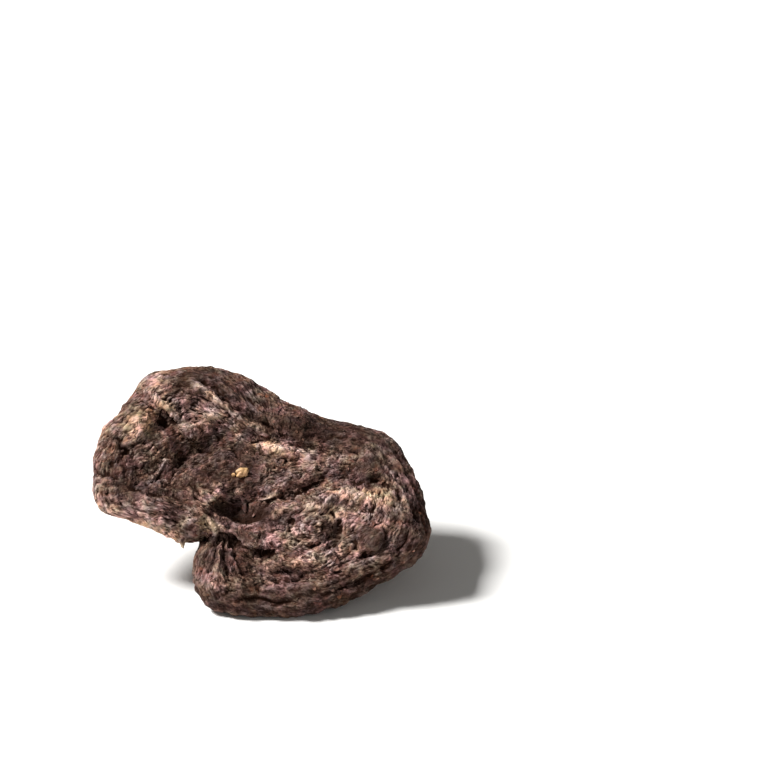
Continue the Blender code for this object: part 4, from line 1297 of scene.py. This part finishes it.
def combedWrinkles():
    # fine wrinkles drawn out along the flow, as a height and as thin cracks and strokes that the skin paints
    # with shade and a highlight
    group, given, put = newGroup(
        "combedWrinkles", {"Scale": 1.0, **dict.fromkeys(combed["names"], 0.0)},
        {"Height": "Float", "Crack": "Float", "Stroke": "Float"},
    )
    coords = given.outputs["Vector"]
    scale, amount = combed["wobble"]
    wobble = addNoise(group, coords, scale, 2.0, 0.5, output="Color")
    pushed = addVector(group, "MULTIPLY_ADD", wobble, (amount, amount, amount), coords)
    toFace = form["lean"] - math.pi / 2
    long = 1 / combed["stretch"]
    turns = [((toFace, 0, -math.radians(d)), (long, 1, 1)) for d in combed["directions"]]
    turns += [((toFace, 0, 0), (1, 1, long)), ((toFace, 0, 0), (1, 1, 1))]
    sums = [None, None]
    for name, (turn, squeeze) in zip(combed["names"], turns):
        mapping = group.nodes.new("ShaderNodeMapping")
        mapping.inputs["Rotation"].default_value = turn
        group.links.new(pushed.outputs["Vector"], mapping.inputs["Vector"])
        drawn = addVector(group, "MULTIPLY", mapping.outputs["Vector"], squeeze)
        scaled = addVector(group, "SCALE", drawn.outputs["Vector"])
        group.links.new(given.outputs["Scale"], scaled.inputs["Scale"])
        for k, (frequency, detail) in enumerate(combed["waves"]):
            noise = addNoise(group, scaled.outputs["Vector"], frequency, detail, combed["waveRoughness"])
            part = times(group, addMath(group, "SUBTRACT", noise, 0.5), given.outputs[name])
            sums[k] = part if sums[k] is None else addMath(group, "ADD", sums[k], part)
    # a line runs wherever a sum passes through nought, with breaks in it
    crack, stroke = (
        times(group, addRange(group, addMath(group, "ABSOLUTE", total), width, 0.0),
              noiseRange(group, coords, *combed[kind]))
        for total, width, kind in zip(sums, combed["widths"], ("gaps", "breaks"))
    )
    broad, raised, sunk = combed["heights"]
    height = addMath(group, "ADD", times(group, sums[0], broad), times(group, stroke, raised))
    height = addMath(group, "SUBTRACT", height, times(group, crack, sunk))
    for label, value in (("Height", height), ("Crack", crack), ("Stroke", stroke)):
        group.links.new(value, put.inputs[label])
    return group


grainNoise = {"coarse": (760.0, 5.0, 0.68, 0.8), "fine": (2300.0, 3.0, 0.6), "fineShare": 0.30, "height": 0.5}


def driedGrain():
    # a bump of matted fibres and pits, over any larger height
    group, given, put = newGroup(
        "driedGrain", {"Over": 0.0, "Strength": 0.5, "Distance": 0.0003},
        {"Height": "Float", "Normal": "Vector"},
    )
    coords = given.outputs["Vector"]
    coarse, fine = (addNoise(group, coords, *grainNoise[kind]) for kind in ("coarse", "fine"))
    height = addMath(group, "ADD", coarse, times(group, fine, grainNoise["fineShare"]))
    height = addMath(group, "ADD", times(group, height, grainNoise["height"]), given.outputs["Over"])
    bump = group.nodes.new("ShaderNodeBump")
    for label in ("Strength", "Distance"):
        group.links.new(given.outputs[label], bump.inputs[label])
    group.links.new(height, bump.inputs["Height"])
    group.links.new(height, put.inputs["Height"])
    group.links.new(bump.outputs["Normal"], put.inputs["Normal"])
    return group


def newMaterial(name):
    material = bpy.data.materials.new(name)
    material.use_nodes = True
    tree = material.node_tree
    coords = tree.nodes.new("ShaderNodeTexCoord").outputs["Object"]
    return material, tree, tree.nodes["Principled BSDF"], coords


def addAmount(tree, name):
    node = tree.nodes.new("ShaderNodeAttribute")
    node.attribute_name = name
    return node.outputs["Fac"]


def placeGroup(tree, group, coords, values):
    node = tree.nodes.new("ShaderNodeGroup")
    node.node_tree = group
    for label, value in {"Vector": coords, **values}.items():
        feed(tree, node.inputs[label], value)
    return node


def setSurface(tree, surface, coords, grain, color, rough, specular, bump, over=0.0):
    strength, distance = bump
    fibres = placeGroup(tree, grain, coords, {"Strength": strength, "Distance": distance, "Over": over})
    values = {
        "Base Color": color, "Roughness": rough, "Specular IOR Level": specular,
        "Normal": fibres.outputs["Normal"],
    }
    for label, value in values.items():
        feed(tree, surface.inputs[label], value)


skinPaint = {
    "base": (0.120, 0.056, 0.045),
    "cool": (0.076, 0.046, 0.042),
    "warm": (0.160, 0.060, 0.034),
    # the pale colour: pale skin and painted light together
    "paleAndLit": (0.40, 0.232, 0.195),
    # the painted highlight colour of ridges and strokes
    "ridgeHighlight": (0.90, 0.61, 0.51),
    "tan": (0.82, 0.53, 0.33),
    # the painted shade colour of hollows and cracks
    "shadeColor": (0.017, 0.0052, 0.0018),
    # multiplied in over the dark places: dark skin and painted shade together
    "dimmed": (0.25, 0.22, 0.21),
    "stalk": (0.125, 0.066, 0.036),
    "stalkRidge": (0.40, 0.235, 0.115),
    "below": (0.095, 0.056, 0.040),
    "foot": (0.15, 0.055, 0.030),
    "specks": (0.8, 0.6),  # on the cap, on the stalk
    "underShare": 0.7,  # of the colours below and at the foot
    "broken": ((480.0, 3.0, 0.6), (0.30, 0.66, 0.35, 1.0)),
    "patches": ((95.0, 3.0, 0.55), (0.46, 0.70, 0.0, 0.36)),
    "paleShare": 0.62,
    "warmWhere": (0.66, 0.36, 0.30, 1.0),  # by hollow, as the other three
    "ridgeWhere": (0.44, 0.10),
    "stalkWhere": (0.52, 0.22),
    "shadeWhere": (0.54, 0.88),
    "warmLeast": 0.7,
    "ridgeShare": (0.42, 0.55),  # everywhere, and more in pale places
    "stalkShare": 0.7,
    "darkShare": 0.85,
    "crackShare": (0.95, 0.92),  # of the fine ones among all, and of all
    "stalkCalm": 0.6,
    "roughness": (0.86, 0.62),
    "bump": (1.0, 0.00055),
    "specular": 0.08,
    "wrinkleScale": 0.74,
}


def skinMaterial(mottle, grain, drift, wrinkles):
    material, tree, surface, coords = newMaterial("driedSkin")
    c = skinPaint
    hollow, warm, paleAndLit, darkAndShaded, stalk = (
        addAmount(tree, name) for name in ("hollow", "warm", "paleAndLit", "darkAndShaded", "stalk")
    )
    bodies = [
        placeGroup(tree, mottle, coords, {
            "Base": c[base], "Cool": c[cool], "Warm": c["warm"], "Speck": speck,
        })
        for base, cool, speck in zip(("base", "stalk"), ("cool", "base"), c["specks"])
    ]
    color = addMix(tree, stalk, bodies[0].outputs["Color"], bodies[1].outputs["Color"])
    for name in ("below", "foot"):
        color = addMix(tree, times(tree, addAmount(tree, name), c["underShare"]), color, c[name])
    amounts = {name: addAmount(tree, name) for name in combed["names"]}
    fineOnes = placeGroup(tree, wrinkles, coords, {"Scale": c["wrinkleScale"], **amounts})
    broken = noiseRange(tree, coords, *c["broken"])
    patches = noiseRange(tree, coords, *c["patches"])
    # the pale amount: pale skin patches, and painted light from the pale places and along raised cords
    paleAndLit = addMath(tree, "MINIMUM", addMath(tree, "ADD", paleAndLit, patches), 1.0)
    # pale and tan places, partly painted light, then ridges and strokes with a painted highlight
    color = addMix(tree, times(tree, times(tree, paleAndLit, c["paleShare"]), broken), color, c["paleAndLit"])
    # the tan places, partly painted light, go more onto raised parts than into hollows
    warmth = times(tree, warm, addRange(tree, hollow, *c["warmWhere"]))
    color = addMix(tree, times(tree, warmth, larger(tree, broken, c["warmLeast"])), color, c["tan"])
    # painted highlight: raised ridges and strokes lightened, more in the pale places
    strokes = larger(tree, addAmount(tree, "stroke"), fineOnes.outputs["Stroke"])
    ridgeHighlight = times(tree, larger(tree, addRange(tree, hollow, *c["ridgeWhere"]), strokes), broken)
    everywhere, inPale = c["ridgeShare"]
    lit = addMath(tree, "ADD", everywhere, times(tree, paleAndLit, inPale))
    color = addMix(tree, times(tree, ridgeHighlight, lit), color, c["ridgeHighlight"])
    onStalk = times(tree, stalk, addRange(tree, hollow, *c["stalkWhere"]))
    color = addMix(tree, times(tree, onStalk, c["stalkShare"]), color, c["stalkRidge"])
    # dark places, partly dark skin and partly painted shade, then painted shade that takes hollows and cracks
    # nearly black
    color = addMix(tree, times(tree, darkAndShaded, c["darkShare"]), color, c["dimmed"], "MULTIPLY")
    fineShare, crackShare = c["crackShare"]
    cracks = larger(tree, addAmount(tree, "crack"), times(tree, fineOnes.outputs["Crack"], fineShare))
    paintedShade = larger(tree, addRange(tree, hollow, *c["shadeWhere"]), times(tree, cracks, crackShare))
    onCap = addMath(tree, "SUBTRACT", 1.0, times(tree, stalk, c["stalkCalm"]))
    color = placeGroup(tree, drift, coords, {"Color": color, "Amount": onCap}).outputs["Color"]
    color = addMix(tree, paintedShade, color, c["shadeColor"])
    rough = addRange(tree, ridgeHighlight, 0.0, 1.0, *c["roughness"])
    over = fineOnes.outputs["Height"]
    setSurface(tree, surface, coords, grain, color, rough, c["specular"], c["bump"], over)
    return material


def fleshMaterial(look, mottle, grain, drift):
    # mottled, and paler towards the end where the look has one
    material, tree, surface, coords = newMaterial(look["name"])
    colors = {label: look[label.lower()] for label in ("Base", "Cool", "Warm", "Speck")}
    color = placeGroup(tree, mottle, coords, colors).outputs["Color"]
    if "end" in look:
        paler = addRange(tree, addAmount(tree, "tip"), *look["paler"])
        if "patches" in look:
            paler = times(tree, paler, noiseRange(tree, coords, *look["patches"]))
        color = addMix(tree, paler, color, look["end"])
    color = placeGroup(tree, drift, coords, {"Color": color, "Amount": look["drift"]}).outputs["Color"]
    setSurface(tree, surface, coords, grain, color, look["roughness"], look["specular"], look["bump"])
    return material


mottle, grain, drift = driedMottle(), driedGrain(), hueDrift()
skin, skinPoints, skinNormals, skinZone = addSkin()
spines = addSpines(skinPoints, skinNormals, skinZone)
scaleTips = addScaleTips(skinPoints, skinNormals, skinZone)
tornFlap = addFlap(skinPoints, skinZone)
tanGrain = addGrain(skinPoints)
skin.data.materials.append(skinMaterial(mottle, grain, drift, combedWrinkles()))
for piece, look in ((spines, spineLook), (scaleTips, tipLook), (tornFlap, flapLook), (tanGrain, grainLook)):
    piece.data.materials.append(fleshMaterial(look, mottle, grain, drift))
for piece in (skin, spines, scaleTips, tornFlap, tanGrain):
    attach(piece, "root")
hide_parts("mushroom")
print("pieces in place")


# floor, light and camera

stage = {
    "floorSize": 3.0,
    "floorColor": (0.80, 0.79, 0.77),
    "floorRoughness": 0.9,
    "aim": (0.0, 0.0, 0.02),
    "lights": {  # place, size, power
        "key": ((-1.56, 0.15, 1.74), 0.60, 117.0),
        "fill": ((0.60, -1.70, 0.90), 1.8, 4.0),
    },
    "worldColor": (1.0, 0.985, 0.96),
    "world": 0.17,
}


def addFloor():
    mesh = bpy.data.meshes.new("floor")
    bm = bmesh.new()
    bmesh.ops.create_grid(bm, x_segments=1, y_segments=1, size=stage["floorSize"] / 2)
    bm.to_mesh(mesh)
    bm.free()
    material = bpy.data.materials.new("paleFloor")
    material.use_nodes = True
    surface = material.node_tree.nodes["Principled BSDF"]
    feed(material.node_tree, surface.inputs["Base Color"], stage["floorColor"])
    feed(material.node_tree, surface.inputs["Roughness"], stage["floorRoughness"])
    mesh.materials.append(material)
    linked("floor", mesh)


def addLight(name, place, size, power):
    light = bpy.data.lights.new(name, "AREA")
    light.size = size
    light.energy = power
    lamp = linked(name, light)
    lamp.location = place
    lamp.rotation_mode = "QUATERNION"
    lamp.rotation_quaternion = (Vector(place) - Vector(stage["aim"])).to_track_quat("Z", "Y")


camera = {
    "elevation": math.radians(27.0),
    "distance": 0.9,
    "sensor": 36,
    "farthest": 10,
    "photoSize": 757,
    "mmPerPixel": 0.3,
    "faceMiddle": (262, 490),  # the pixel where the face's own origin shows
}


def addCamera():
    c, s = math.cos(camera["elevation"]), math.sin(camera["elevation"])
    up, back = Vector((0, s, c)), Vector((0, -c, s))
    origin = Vector((-form["centreX"], -form["centreY"], form["lift"])) * mm
    pixel = camera["mmPerPixel"] * mm
    half = camera["photoSize"] / 2
    x, y = camera["faceMiddle"]
    target = origin + Vector((1, 0, 0)) * (half - x) * pixel + up * (y - half) * pixel
    lens = bpy.data.cameras.new("camera")
    lens.sensor_width = camera["sensor"]
    lens.lens = camera["sensor"] * camera["distance"] / (camera["photoSize"] * pixel)
    lens.clip_end = camera["farthest"]
    eye = linked("camera", lens)
    eye.location = target + back * camera["distance"]
    eye.rotation_mode = "QUATERNION"
    eye.rotation_quaternion = back.to_track_quat("Z", "Y")
    bpy.context.scene.camera = eye


addFloor()
for name, (place, size, power) in stage["lights"].items():
    addLight(name, place, size, power)
addCamera()
world = bpy.data.worlds.new("studio")
world.use_nodes = True
background = world.node_tree.nodes["Background"]
feed(world.node_tree, background.inputs["Color"], stage["worldColor"])
feed(world.node_tree, background.inputs["Strength"], stage["world"])
bpy.context.scene.world = world
bpy.context.scene.view_settings.view_transform = "Standard"
print("stage set")
